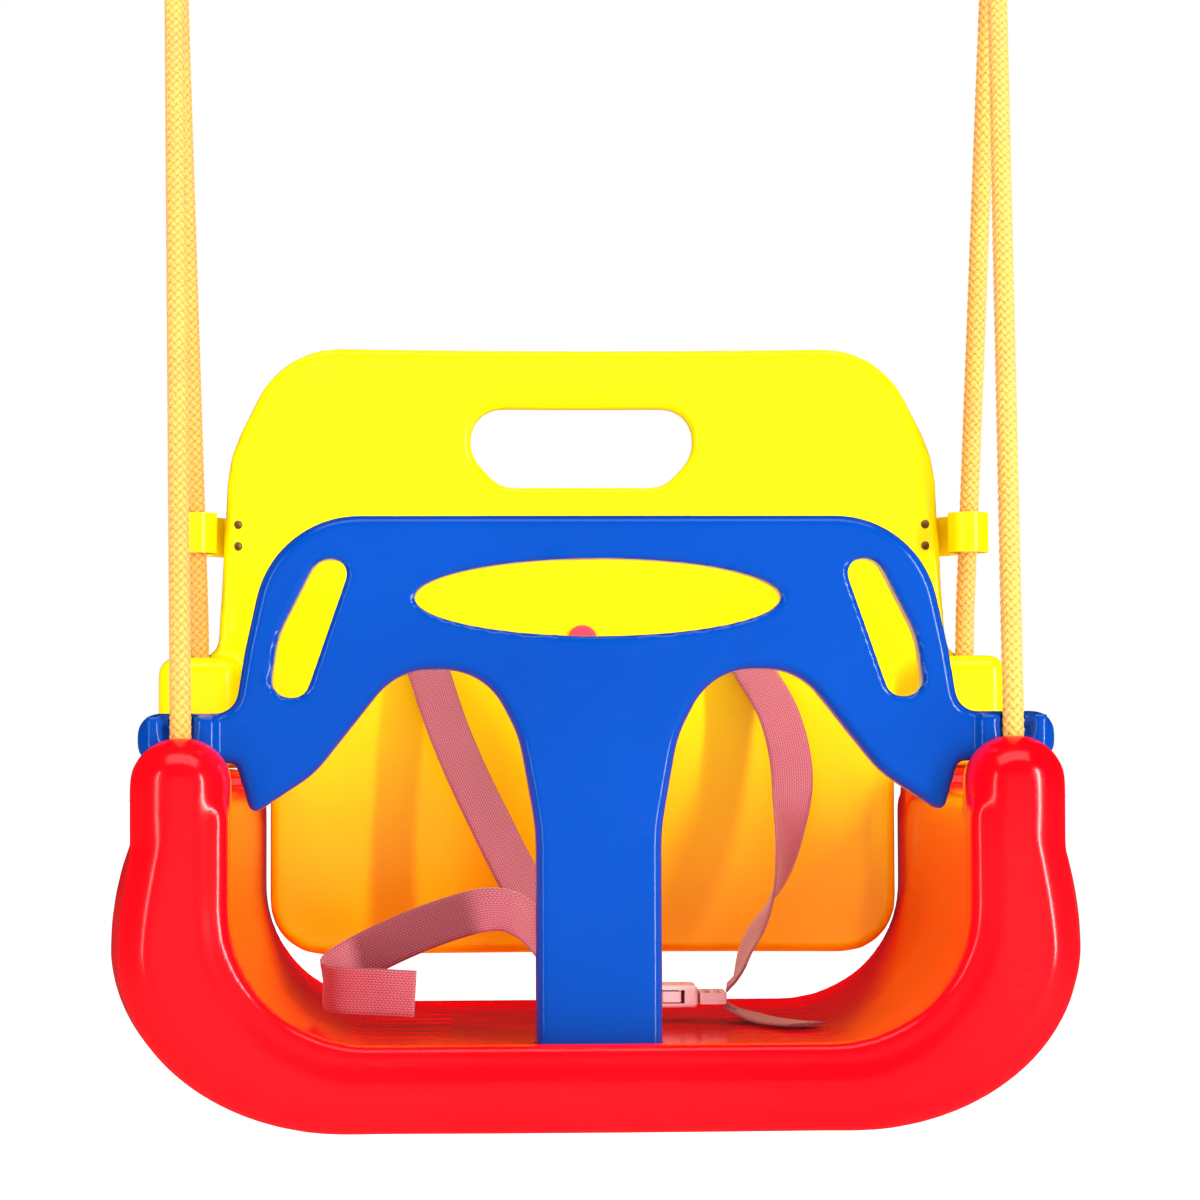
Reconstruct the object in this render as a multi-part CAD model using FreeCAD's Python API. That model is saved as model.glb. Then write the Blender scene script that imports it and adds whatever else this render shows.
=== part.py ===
"""Toddler bucket swing: moulded seat, backrest and T-bar guard hung on two ropes.

Millimetres. +Z is up, the front of the swing faces -Y, the origin is midway
between the two snap hooks. Heights named H are above the underside of the seat.
"""
import FreeCAD, Part
import math
import os

V = FreeCAD.Vector

# Seat
SEAT_HALF_W = 197.0        # outside of the front posts
BULGE_HALF_W = 212.0       # outside of the side walls at their fullest
SEAT_FRONT_Y = -128.0
SEAT_REAR_Y = 120.0
WALL = 3.2
LIP_H = 38.0               # top of the front lip
PAN_H = 35.0               # sitting surface
SIDE_H = 138.0             # top of the side walls between the posts
FLANK_H = 112.0            # top of the full flank on the outside of each side wall
DRAIN_HALF_W = 22.0
DRAIN_HALF_D = 1.5
DRAIN_COLUMNS = (-85.0, 0.0, 85.0)
INNER_HALF_W = 153.0       # inside of the posts and side walls
OUTER_CORNER_R = 75.0
INNER_CORNER_R = 57.0

# Posts
FRONT_ROPE_X = 174.0
FRONT_ROPE_Y = -105.0
POST_HALF_W = 21.7
POST_HALF_D = 22.6
FRONT_POST_H = 164.0
LEDGE_H = 152.5            # shelf behind each domed head, under the guard's tab
REAR_ROPE_X = 184.0
REAR_ROPE_Y = 95.0
REAR_POST_H = 150.0
REAR_POST_X = 179.7
REAR_POST_HALF_W = 26.0
BORE_R = 5.0
END_ROUND = 14.0          # rounding of the seat's ends and of the posts' corners
DOME_ROUND = 15.0
DRAIN_ROWS = (-58.0, -36.0, -14.0, 14.0, 36.0, 58.0)
SLEEVE_R = 8.0
SLEEVE_FOOT_H = 96.0       # lower end of the rope sleeves inside the posts

# Backrest
BACK_TOP_H = 354.0
BACK_FOOT_H = 60.0
BACK_HALF_W = 171.0
BACK_TOP_HALF_W = 123.0
BACK_FOOT_HALF_W = 151.0
BACK_FOOT_R = 26.0
BACK_FRONT_Y = 97.0        # front of the panel at its side edges
BACK_DISH = 16.0           # how far the middle lies behind the edges
BACK_DEPTH = 13.0
EAR_TOP_H = 203.0
EAR_HALF_W = 203.0
HAND_HOLE = (109.0, 39.0, 306.0)
SLOT_X = 78.0
SLOT_H = 203.0
CLIP_H = 262.0
CLIP_TALL = 19.0

# Guard
GUARD_FRONT_Y = -100.0
GUARD_DEPTH = 16.0
GUARD_TOP_H = 257.0
GUARD_EDGE = 5.0
GUARD_WALL = 3.5
GROOVE_R = 6.0             # channel in each tab that the front rope lies in
GROOVE_SPLAY = 3.0         # extra width outwards, because the ropes spread as the guard is lifted
TAB_END_X = 193.0
TAB_TOP_H = 174.0
FOOT_H = 31.0
STEM_HALF_W = 26.5

# Ropes and fittings
ROPE_D = 9.0
KNOT_R = 8.8
WASHER_T = 2.0
RING_WIRE_D = 6.0
RING_R = 19.0
RING_FLAT = 8.0            # straight run at the top and bottom of each link
RING_X = 190.0
RING_Y = 22.0              # over the balance point of the seat
PIVOT_H = 572.0
HOOK_WIRE_D = 7.0
HOOK_BOW_R = 10.0
HOOK_LEG = 36.0
GATE_PIVOT_UP = 1.5        # gate's rivet above the hook's bow centre
TONGUE_R = 1.9
TONGUE_T = 2.4
RIVET_R = 1.0
FIT_GAP = 0.4

# Harness
WEB_W = 20.0
WEB_T = 1.6
BUCKLE_X = 22.0
BUCKLE_Y = 14.0
BUCKLE_H = 47.0
PRONG_T = 2.0

ORIGIN_H = PIVOT_H - RING_WIRE_D / 2 - HOOK_WIRE_D / 2 - FIT_GAP + HOOK_BOW_R + HOOK_LEG
RINGS = {"left": -1, "right": 1}


def save(name, shape):
    """Move a shape from heights above the seat's underside to the frame, and write it."""
    shape = shape.copy()
    shape.translate(V(0, -RING_Y, -ORIGIN_H))
    if not shape.isValid() or shape.Volume <= 0:
        print("NOT VALID:", name)
    solids = len(shape.Solids)
    centre = shape.CenterOfGravity if hasattr(shape, "CenterOfGravity") else shape.BoundBox.Center
    print(f"{name:24s} solids {solids} volume {shape.Volume:10.1f} centre y {centre.y:7.1f}")
    shape.exportStep(f"parts/{name}.step")


def one(shape):
    """The single solid inside a compound that a boolean has returned."""
    return shape.Solids[0] if len(shape.Solids) == 1 else shape


def fuse(shapes):
    """Join overlapping shapes into one solid."""
    return one(shapes[0].multiFuse(shapes[1:]).removeSplitter())


def line(a, b):
    return Part.LineSegment(V(*a), V(*b)).toShape()


def arc(a, mid, b):
    return Part.Arc(V(*a), V(*mid), V(*b)).toShape()


def mirrored(shape):
    return shape.mirror(V(0, 0, 0), V(1, 0, 0))


def outline_xz(points, y):
    """Closed wire in an XZ plane from corners (x, h, radius), each corner rounded."""
    count = len(points)
    ends = []
    for i in range(count):
        before, (x, h, r), after = points[i - 1], points[i], points[(i + 1) % count]
        corner = V(x, y, h)
        back = (V(before[0], y, before[1]) - corner).normalize()
        ahead = (V(after[0], y, after[1]) - corner).normalize()
        half = back.getAngle(ahead) / 2
        if r <= 0:
            ends.append((corner, None, corner))
            continue
        run = r / math.tan(half)
        middle = corner + (back + ahead).normalize() * (r / math.sin(half) - r)
        ends.append((corner + back * run, middle, corner + ahead * run))
    edges = []
    for i in range(count):
        start, middle, stop = ends[i]
        if middle is not None:
            edges.append(Part.Arc(start, middle, stop).toShape())
        nxt = ends[(i + 1) % count][0]
        if (nxt - stop).Length > 1e-6:
            edges.append(Part.LineSegment(stop, nxt).toShape())
    return Part.Wire(edges)


def slab_xz(points, y0, y1):
    """Solid between two Y planes with a rounded-corner outline."""
    return Part.Face(outline_xz(points, y0)).extrude(V(0, y1 - y0, 0))


def both_sides(right):
    """Corners for the whole width from those of the right half, listed bottom to top."""
    left = [(-x, h, r) for x, h, r in reversed(right)]
    return right + left


def box(x0, x1, y0, y1, h0, h1):
    return Part.makeBox(x1 - x0, y1 - y0, h1 - h0, V(x0, y0, h0))


def rod(x, y, h0, h1, r):
    return Part.makeCylinder(r, h1 - h0, V(x, y, h0))


# ---------------------------------------------------------------- seat

def trough(y0, y1):
    """Outside of the seat: side walls and floor as one U, with a rounded rim at each end."""
    outer = [(SEAT_HALF_W, 0.0, OUTER_CORNER_R), (SEAT_HALF_W, SIDE_H, 16.0)]
    inner = [(INNER_HALF_W, SIDE_H, 16.0), (INNER_HALF_W, PAN_H, INNER_CORNER_R)]
    skin = slab_xz(both_sides(outer + inner), y0, y1)
    rims = [e for e in skin.Edges if e.BoundBox.YLength < 1e-3 and e.Length > 12.0]
    return skin.makeFillet(END_ROUND, rims)


def hollow(y0, y1):
    """Space inside the walls and under the floor, open underneath."""
    skirt_x = SEAT_HALF_W - OUTER_CORNER_R - 10.0
    outer = [(skirt_x, -20.0, 0), (skirt_x, WALL, 0), (SEAT_HALF_W - WALL, WALL, OUTER_CORNER_R - WALL),
             (SEAT_HALF_W - WALL, SIDE_H - WALL, 12.0)]
    inner = [(INNER_HALF_W + WALL, SIDE_H - WALL, 12.0),
             (INNER_HALF_W + WALL, PAN_H - WALL, INNER_CORNER_R + WALL)]
    return slab_xz(both_sides(outer + inner), y0, y1)


def flank(inset, y0, y1):
    """Block with the outline of the full flank between the posts, right side."""
    corners = [(SEAT_HALF_W - 60.0, 8.0 + inset, 0), (SEAT_HALF_W - 12.0, 12.0 + inset, 30.0),
               (BULGE_HALF_W - inset, 62.0, 60.0 - inset),
               (BULGE_HALF_W - 1.0 - inset, FLANK_H - inset, 14.0 - inset),
               (SEAT_HALF_W - 14.0, FLANK_H - inset, 0)]
    return slab_xz(corners, y0, y1)


def side_bulge(side):
    """Full flank of the side wall between the posts."""
    pad = flank(0.0, FRONT_ROPE_Y + POST_HALF_D - 12.0, REAR_ROPE_Y - POST_HALF_D + 12.0)
    ends = [e for e in pad.Edges if e.BoundBox.YLength < 1e-3 and e.BoundBox.XMax > SEAT_HALF_W + 2.0]
    pad = rounded(pad, ends, (12.0, 8.0, 5.0))
    return pad if side > 0 else mirrored(pad)


def post(x, y, top, half_w, dome):
    """Upright post with rounded corners; its top is rounded by the dome radius."""
    body = box(x - half_w, x + half_w, y - POST_HALF_D, y + POST_HALF_D, LIP_H + 18.0, top)
    uprights = [e for e in body.Edges if e.BoundBox.ZLength > 20.0]
    body = body.makeFillet(END_ROUND, uprights)
    rims = [e for e in body.Edges if e.BoundBox.ZMin > top - 1e-3]
    return body.makeFillet(dome, rims)


def inside_post(x, y, top, half_w):
    """Space inside a post."""
    reach_x, reach_y = half_w - WALL - 3.0, POST_HALF_D - WALL - 3.0
    return box(x - reach_x, x + reach_x, y - reach_y, y + reach_y, LIP_H + 6.0, top - WALL)


def seat_shell():
    """Red seat: a thin-walled moulding, open underneath, with four hollow posts."""
    front_x = SEAT_HALF_W - POST_HALF_W
    front_lip = box(-90.0, 90.0, SEAT_FRONT_Y + 9.0, GUARD_FRONT_Y - FIT_GAP, PAN_H - 2.0, LIP_H)
    outside = [trough(SEAT_FRONT_Y, SEAT_REAR_Y), front_lip]
    spaces = [hollow(SEAT_FRONT_Y + WALL + 3.0, SEAT_REAR_Y - WALL - 3.0)]
    sleeves = []
    cuts = []
    for side in (-1, 1):
        outside.append(side_bulge(side))
        space = flank(WALL, FRONT_ROPE_Y + POST_HALF_D - 4.0, REAR_ROPE_Y - POST_HALF_D + 4.0)
        spaces.append(space if side > 0 else mirrored(space))
        outside.append(post(side * front_x, FRONT_ROPE_Y, FRONT_POST_H, POST_HALF_W, DOME_ROUND))
        outside.append(post(side * REAR_POST_X, REAR_ROPE_Y, REAR_POST_H, REAR_POST_HALF_W, 4.0))
        spaces.append(inside_post(side * front_x, FRONT_ROPE_Y, LEDGE_H, POST_HALF_W))
        spaces.append(inside_post(side * REAR_POST_X, REAR_ROPE_Y, REAR_POST_H, REAR_POST_HALF_W))
        for x, y, top in ((FRONT_ROPE_X, FRONT_ROPE_Y, LEDGE_H), (REAR_ROPE_X, REAR_ROPE_Y, REAR_POST_H)):
            sleeves.append(rod(side * x, y, SLEEVE_FOOT_H, top - 1.0, SLEEVE_R))
            cuts.append(rod(side * x, y, SLEEVE_FOOT_H - 30.0, top + 20.0, BORE_R))
        x0, x1 = sorted((side * (INNER_HALF_W - 8.0), side * (SEAT_HALF_W + 8.0)))
        cuts.append(box(x0, x1, FRONT_ROPE_Y + 0.9, FRONT_ROPE_Y + POST_HALF_D + 5.0,
                        LEDGE_H, FRONT_POST_H + 5.0))
    ribs = [box(-112.0, 112.0, y - 1.2, y + 1.2, 8.0, PAN_H - 1.0) for y in (-72.0, 0.0, 72.0)]
    ribs += [box(x - 1.2, x + 1.2, SEAT_FRONT_Y + 8.0, SEAT_REAR_Y - 8.0, 8.0, PAN_H - 1.0)
             for x in (-57.0, 57.0)]
    socket_y0 = GUARD_FRONT_Y - FIT_GAP
    socket_y1 = GUARD_FRONT_Y + GUARD_DEPTH + 4.0
    socket_x = STEM_HALF_W + FIT_GAP
    well = box(-socket_x - WALL, socket_x + WALL, socket_y0 - WALL, socket_y1 + WALL,
               FOOT_H - WALL - 3.0, PAN_H - 1.0)
    solid = one(fuse(outside).cut(Part.makeCompound(spaces)))
    solid = fuse([solid, well] + sleeves + ribs)
    cuts.append(box(-socket_x, socket_x, socket_y0, socket_y1, FOOT_H - 0.3, LIP_H + 10.0))
    for y in DRAIN_ROWS:
        for x in DRAIN_COLUMNS:
            cuts.append(box(x - DRAIN_HALF_W, x + DRAIN_HALF_W, y - DRAIN_HALF_D, y + DRAIN_HALF_D,
                            0.0, PAN_H + 5.0))
    return one(solid.cut(Part.makeCompound(cuts)))


# ------------------------------------------------------------ backrest

def dished_slab(front, depth):
    """Slab bent about a vertical axis: its middle lies BACK_DISH behind its side edges."""
    radius = (BACK_HALF_W ** 2 + BACK_DISH ** 2) / (2 * BACK_DISH)
    centre_y = front + BACK_DISH - radius
    outer = Part.makeCylinder(radius + depth, 400.0, V(0, centre_y, 0))
    inner = Part.makeCylinder(radius, 400.0, V(0, centre_y, 0))
    window = box(-230.0, 230.0, front - 40.0, front + 90.0, 20.0, 380.0)
    return one(outer.cut(inner).common(window))


BACK_HALF = [(BACK_FOOT_HALF_W, BACK_FOOT_H, BACK_FOOT_R),
             (BACK_FOOT_HALF_W, REAR_POST_H, 0.8), (EAR_HALF_W, REAR_POST_H, 3.0),
             (EAR_HALF_W, EAR_TOP_H, 16.0), (BACK_HALF_W + 5.0, EAR_TOP_H, 9.0),
             (BACK_HALF_W, 300.0, 60.0), (BACK_TOP_HALF_W + 22.0, BACK_TOP_H, 44.0)]


def backrest():
    """Yellow panel: dished, rimmed, with a hand hole, and ears that stand on the rear posts."""
    panel = dished_slab(BACK_FRONT_Y, BACK_DEPTH)
    outline = slab_xz(both_sides(BACK_HALF), 40.0, 160.0)
    panel = one(panel.common(outline))
    tray = dished_slab(BACK_FRONT_Y + 4.5, BACK_DEPTH)
    inside = [(BACK_FOOT_HALF_W - 7.0, BACK_FOOT_H + 7.0, 22.0), (INNER_HALF_W - 9.0, 100.0, 40.0),
              (BACK_HALF_W - 20.0, EAR_TOP_H, 30.0), (BACK_HALF_W - 7.0, 300.0, 50.0),
              (BACK_TOP_HALF_W + 16.0, BACK_TOP_H - 7.0, 34.0)]
    tray = one(tray.common(slab_xz(both_sides(inside), 40.0, 160.0)))
    hole_w, hole_tall, hole_h = HAND_HOLE

    def hand_hole(grow):
        half_w, half_h = hole_w / 2 + grow, hole_tall / 2 + grow
        low = [(half_w - 14.0, hole_h - half_h, 14.0), (half_w, hole_h - 4.0, 16.0),
               (half_w, hole_h + half_h, 15.0)]
        return slab_xz(both_sides(low), 40.0, 160.0)

    panel = panel.cut(tray.cut(hand_hole(5.0)))
    cuts = [hand_hole(0.0)]
    ears = []
    for side in (-1, 1):
        ear = box(side * REAR_ROPE_X - 19.0, side * REAR_ROPE_X + 19.0,
                  REAR_ROPE_Y - 18.0, REAR_ROPE_Y + 18.0, REAR_POST_H, EAR_TOP_H)
        uprights = [e for e in ear.Edges if abs(e.tangentAt(e.FirstParameter).z) > 0.9]
        ears.append(ear.makeFillet(9.0, uprights))
        cuts.append(rod(side * REAR_ROPE_X, REAR_ROPE_Y, REAR_POST_H - 5.0, EAR_TOP_H + 5.0, BORE_R))
        cuts.append(box(side * SLOT_X - 13.5, side * SLOT_X + 13.5, 60.0, 160.0, SLOT_H - 3.5, SLOT_H + 3.5))
    solid = fuse([one(panel)] + ears)
    solid = solid.cut(Part.makeCompound(cuts))
    keep_clear = box(-230.0, 230.0, 20.0, 200.0, 0.0, BACK_FOOT_H)
    return one(solid.cut(keep_clear))


def rope_at(side, h, leg):
    """Centre of a rope leg at a height."""
    corners = rope_route(side)
    foot, top = (corners[1], corners[2]) if leg == "front" else (corners[4], corners[3])
    return foot + (top - foot) * ((h - foot.z) / (top.z - foot.z))


def rope_clip(side):
    """Keeper: an arm riveted behind the panel's edge that hooks round the rear rope."""
    at = rope_at(side, CLIP_H, "rear")
    low, high = CLIP_H - CLIP_TALL / 2, CLIP_H + CLIP_TALL / 2
    lean = 0.25 * CLIP_TALL / 2
    inner_r = ROPE_D / 2 + lean + 0.4
    hook = rod(at.x, at.y, low, high, inner_r + 2.4)
    root_y = BACK_FRONT_Y + BACK_DEPTH + 4.2
    root_x = side * (BACK_HALF_W - 14.0)
    bend_x = side * (BACK_HALF_W + 3.5)
    strip = Part.makePolygon([V(root_x, root_y - 1.2, low), V(bend_x, root_y - 1.2, low),
                              V(at.x + side * 3.0, at.y + inner_r, low),
                              V(at.x + side * 5.0, at.y + inner_r + 2.4, low),
                              V(bend_x + side * 1.5, root_y + 1.2, low), V(root_x, root_y + 1.2, low),
                              V(root_x, root_y - 1.2, low)])
    arm = Part.Face(strip).extrude(V(0, 0, CLIP_TALL))
    solid = fuse([hook, arm])
    return one(solid.cut(rod(at.x, at.y, low - 1, high + 1, inner_r)))


def clip_rivets():
    """Two rivets through each keeper's root."""
    heads = []
    for side in (-1, 1):
        for h in (CLIP_H - 5.0, CLIP_H + 5.0):
            x = side * (BACK_HALF_W - 8.0)
            y = BACK_FRONT_Y + BACK_DEPTH + 5.5
            heads.append(Part.makeCylinder(2.6, 1.4, V(x, y, h), V(0, 1, 0)))
    return Part.makeCompound(heads)


# --------------------------------------------------------------- guard

GUARD_HALF = [(STEM_HALF_W, FOOT_H, 4.0), (STEM_HALF_W, 125.0, 90.0), (33.5, 164.0, 50.0),
              (48.0, 192.0, 28.0), (84.6, 192.0, 28.0), (119.0, 148.5, 40.0), (145.5, 131.0, 3.0),
              (152.0, 153.0, 1.5), (TAB_END_X, 153.0, 8.0), (TAB_END_X, TAB_TOP_H, 9.0),
              (152.5, TAB_TOP_H, 9.0), (148.3, 200.0, 60.0), (136.0, GUARD_TOP_H, 44.0)]
SIDE_WINDOW = [(123.0, 180.5, 6.0), (138.0, 180.5, 7.0), (134.5, 206.0, 40.0), (118.0, 238.5, 8.0),
               (103.0, 238.5, 6.0)]
LENS_HALF_W = 77.3
LENS_HALF_H = 16.3
LENS_H = 222.3


def lens(grow):
    """Elliptical window in the middle of the guard."""
    centre = V(0, -200.0, LENS_H)
    edge = Part.Ellipse(centre + V(LENS_HALF_W + grow, 0, 0), centre + V(0, 0, LENS_HALF_H + grow), centre)
    return Part.Face(Part.Wire([edge.toShape()])).extrude(V(0, 300, 0))


def front_guard():
    """Blue T-bar guard: bar with three windows, stem, and tabs that lie behind the front ropes."""
    face = Part.Face(outline_xz(both_sides(GUARD_HALF), GUARD_FRONT_Y))
    plate = face.extrude(V(0, GUARD_DEPTH, 0))
    plate = plate.makeFillet(GUARD_EDGE, [e for e in plate.Edges if e.BoundBox.YMax < GUARD_FRONT_Y + 1e-3])
    window = slab_xz(SIDE_WINDOW, -200.0, 100.0)
    for hole in (lens(0.0), window, mirrored(window)):
        plate = one(plate.cut(hole))
    pocket = face.makeOffset2D(-GUARD_WALL - 1.5).extrude(V(0, GUARD_DEPTH, 0))
    pocket.translate(V(0, GUARD_WALL, 0))
    surround = [f for f in slab_xz(SIDE_WINDOW, 0.0, 1.0).Faces if f.BoundBox.YLength < 1e-3][0]
    surround = surround.makeOffset2D(GUARD_WALL).extrude(V(0, 300.0, 0))
    surround.translate(V(0, -200.0, 0))
    for rim in (lens(GUARD_WALL), surround, mirrored(surround)):
        pocket = one(pocket.cut(rim))
    plate = plate.cut(pocket)
    grooves = []
    blocks = []
    for side in (-1, 1):
        x0, x1 = sorted((side * 160.0, side * (TAB_END_X - 4.0)))
        blocks.append(box(x0, x1, FRONT_ROPE_Y + 1.4, GUARD_FRONT_Y + GUARD_DEPTH - 1.0,
                          154.5, TAB_TOP_H - 1.5))
        low = rope_at(side, 120.0, "front")
        high = rope_at(side, 220.0, "front")
        for splay in (0.0, GROOVE_SPLAY):
            foot = low + V(side * splay, 0, 0)
            grooves.append(Part.makeCylinder(GROOVE_R, (high - low).Length, foot, high - low))
        grooves.append(rod(side * FRONT_ROPE_X, FRONT_ROPE_Y, 130.0, FRONT_POST_H + 4.0, GROOVE_R))
    return one(fuse([plate] + blocks).cut(Part.makeCompound(grooves)))


def rounded(shape, edges, radii):
    """Fillet with the largest radius in the list that the edges take."""
    for radius in radii:
        try:
            trial = shape.makeFillet(radius, edges)
        except Exception:
            continue
        if trial.isValid() and trial.Volume > 0:
            print("edge radius", radius)
            return trial
    print("edges left sharp")
    return shape


# --------------------------------------------------- ropes and fittings

def rope_route(side):
    """Corners of one rope, from the front knot up over the ring and down to the rear knot."""
    ring_h = PIVOT_H - 2 * RING_R
    reach = RING_WIRE_D / 2 + ROPE_D / 2 + 0.15
    return [V(side * FRONT_ROPE_X, FRONT_ROPE_Y, SLEEVE_FOOT_H - WASHER_T),
            V(side * FRONT_ROPE_X, FRONT_ROPE_Y, FRONT_POST_H),
            V(side * RING_X, RING_Y - reach * 0.80, ring_h + reach),
            V(side * RING_X, RING_Y + reach * 0.82, ring_h + reach),
            V(side * REAR_ROPE_X, REAR_ROPE_Y, EAR_TOP_H),
            V(side * REAR_ROPE_X, REAR_ROPE_Y, SLEEVE_FOOT_H - WASHER_T)]


def tube(points, radii, diameter):
    """Round tube along straight runs joined by tangent arcs of the given radii."""
    edges = []
    start = points[0]
    length = 0.0
    for i in range(1, len(points) - 1):
        back = (points[i - 1] - points[i]).normalize()
        ahead = (points[i + 1] - points[i]).normalize()
        half = back.getAngle(ahead) / 2
        radius = radii[i - 1]
        run = radius / math.tan(half)
        into = points[i] + back * run
        out = points[i] + ahead * run
        middle = points[i] + (back + ahead).normalize() * (radius / math.sin(half) - radius)
        edges.append(Part.LineSegment(start, into).toShape())
        edges.append(Part.Arc(into, middle, out).toShape())
        print(f"  bend {i}: radius {radius:.1f}, turn {180 - math.degrees(2 * half):.1f} degrees")
        start = out
    edges.append(Part.LineSegment(start, points[-1]).toShape())
    wire = Part.Wire(edges)
    section = Part.Wire([Part.Circle(points[0], points[1] - points[0], diameter / 2).toShape()])
    pipe = wire.makePipeShell([section], True, False)
    ideal = math.pi * diameter ** 2 / 4 * wire.Length
    print(f"  length {wire.Length:.1f}, volume share {pipe.Volume / ideal:.4f}")
    return pipe


def rope(side):
    ring_bend = RING_WIRE_D / 2 + ROPE_D / 2 + 0.15
    return tube(rope_route(side), [80.0, ring_bend, ring_bend, 80.0], ROPE_D)


def rope_knots(side):
    """Stopper knots under the front and rear sleeves of one side."""
    knots = []
    for x, y in ((FRONT_ROPE_X, FRONT_ROPE_Y), (REAR_ROPE_X, REAR_ROPE_Y)):
        top = SLEEVE_FOOT_H - WASHER_T
        ball = Part.makeSphere(KNOT_R, V(side * x, y, top - KNOT_R + 0.6))
        knots.append(ball.cut(box(side * x - 20, side * x + 20, y - 20, y + 20, top, top + 20)))
    return Part.makeCompound([k.Solids[0] for k in knots])


def knot_washers():
    """Steel washers between the knots and the sleeves."""
    washers = []
    for side in (-1, 1):
        for x, y in ((FRONT_ROPE_X, FRONT_ROPE_Y), (REAR_ROPE_X, REAR_ROPE_Y)):
            plate = rod(side * x, y, SLEEVE_FOOT_H - WASHER_T, SLEEVE_FOOT_H, KNOT_R)
            washers.append(one(plate.cut(rod(side * x, y, SLEEVE_FOOT_H - 5.0, SLEEVE_FOOT_H + 5.0, BORE_R))))
    return Part.makeCompound(washers)


def hang_ring(side):
    """Oval steel link: two half circles joined by short straight runs that the hook and the rope bear on."""
    left, right = side * RING_X - RING_FLAT / 2, side * RING_X + RING_FLAT / 2
    top, middle, foot = PIVOT_H, PIVOT_H - RING_R, PIVOT_H - 2 * RING_R
    path = Part.Wire([line((left, RING_Y, top), (right, RING_Y, top)),
                      arc((right, RING_Y, top), (right + RING_R, RING_Y, middle), (right, RING_Y, foot)),
                      line((right, RING_Y, foot), (left, RING_Y, foot)),
                      arc((left, RING_Y, foot), (left - RING_R, RING_Y, middle), (left, RING_Y, top))])
    section = Part.Wire([Part.Circle(V(left, RING_Y, top), V(1, 0, 0), RING_WIRE_D / 2).toShape()])
    return one(path.makePipeShell([section], True, False))


def hook_frame(side):
    """Heights and corners of a snap hook's wire loop."""
    low = PIVOT_H - RING_WIRE_D / 2 - HOOK_WIRE_D / 2 - FIT_GAP + HOOK_BOW_R
    return side * RING_X, low, low + HOOK_LEG


def snap_hook(side):
    """Steel hook: an oval of round bar, open in front where the gate closes it."""
    x, low, high = hook_frame(side)
    r = HOOK_BOW_R
    c = RING_Y
    path = Part.Wire([line((x, c - r, low + 4.0), (x, c - r, low)),
                      arc((x, c - r, low), (x, c, low - r), (x, c + r, low)),
                      line((x, c + r, low), (x, c + r, high)),
                      arc((x, c + r, high), (x, c, high + r), (x, c - r, high)),
                      line((x, c - r, high), (x, c - r, high - 3.0))])
    section = Part.Wire([Part.Circle(V(x, c - r, low + 4.0), V(0, 0, -1), HOOK_WIRE_D / 2).toShape()])
    bar = path.makePipeShell([section], True, False)
    slot = box(x - 1.6, x + 1.6, c - r - 5.0, c - r + 5.0, low - 1.0, low + 5.0)
    return one(bar.cut(slot).cut(rivet_hole(x, c - r, low + GATE_PIVOT_UP)))


def hook_gate(side):
    """Gate: a bar with a tongue that turns on a rivet in the hook's forked end."""
    x, low, high = hook_frame(side)
    y = RING_Y - HOOK_BOW_R
    bar = rod(x, y, low + 6.2, high - 3.0 - FIT_GAP, HOOK_WIRE_D / 2 - 0.2)
    pivot_h = low + GATE_PIVOT_UP
    tongue = box(x - TONGUE_T / 2, x + TONGUE_T / 2, y - TONGUE_R, y + TONGUE_R, pivot_h, low + 8.0)
    eye = Part.makeCylinder(TONGUE_R, TONGUE_T, V(x - TONGUE_T / 2, y, pivot_h), V(1, 0, 0))
    solid = fuse([bar, tongue, eye])
    return one(solid.cut(rivet_hole(x, y, pivot_h)))


def rivet_hole(x, y, h):
    """Hole along X for a gate's rivet."""
    return Part.makeCylinder(RIVET_R + 0.05, 20.0, V(x - 10.0, y, h), V(1, 0, 0))


def gate_rivets():
    rivets = []
    for side in RINGS.values():
        x, low, high = hook_frame(side)
        length = HOOK_WIRE_D + 0.6
        foot = V(x - length / 2, RING_Y - HOOK_BOW_R, low + GATE_PIVOT_UP)
        rivets.append(Part.makeCylinder(RIVET_R, length, foot, V(1, 0, 0)))
    return Part.makeCompound(rivets)


# -------------------------------------------------------------- harness

def webbing(stations, width=WEB_W):
    """Flat strap through stations (centre, width direction), one ruled stretch between each pair."""
    sections = []
    for i, (centre, across) in enumerate(stations):
        before = V(*stations[max(i - 1, 0)][0])
        after = V(*stations[min(i + 1, len(stations) - 1)][0])
        along = (after - before).normalize()
        across = V(*across)
        across = (across - along * across.dot(along)).normalize()
        up = along.cross(across).normalize()
        c = V(*centre)
        half_w, half_t = across * (width / 2), up * (WEB_T / 2)
        sections.append(Part.makePolygon([c - half_w - half_t, c + half_w - half_t, c + half_w + half_t,
                                          c - half_w + half_t, c - half_w - half_t]))
    return Part.makeLoft(sections, True, True)


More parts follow.
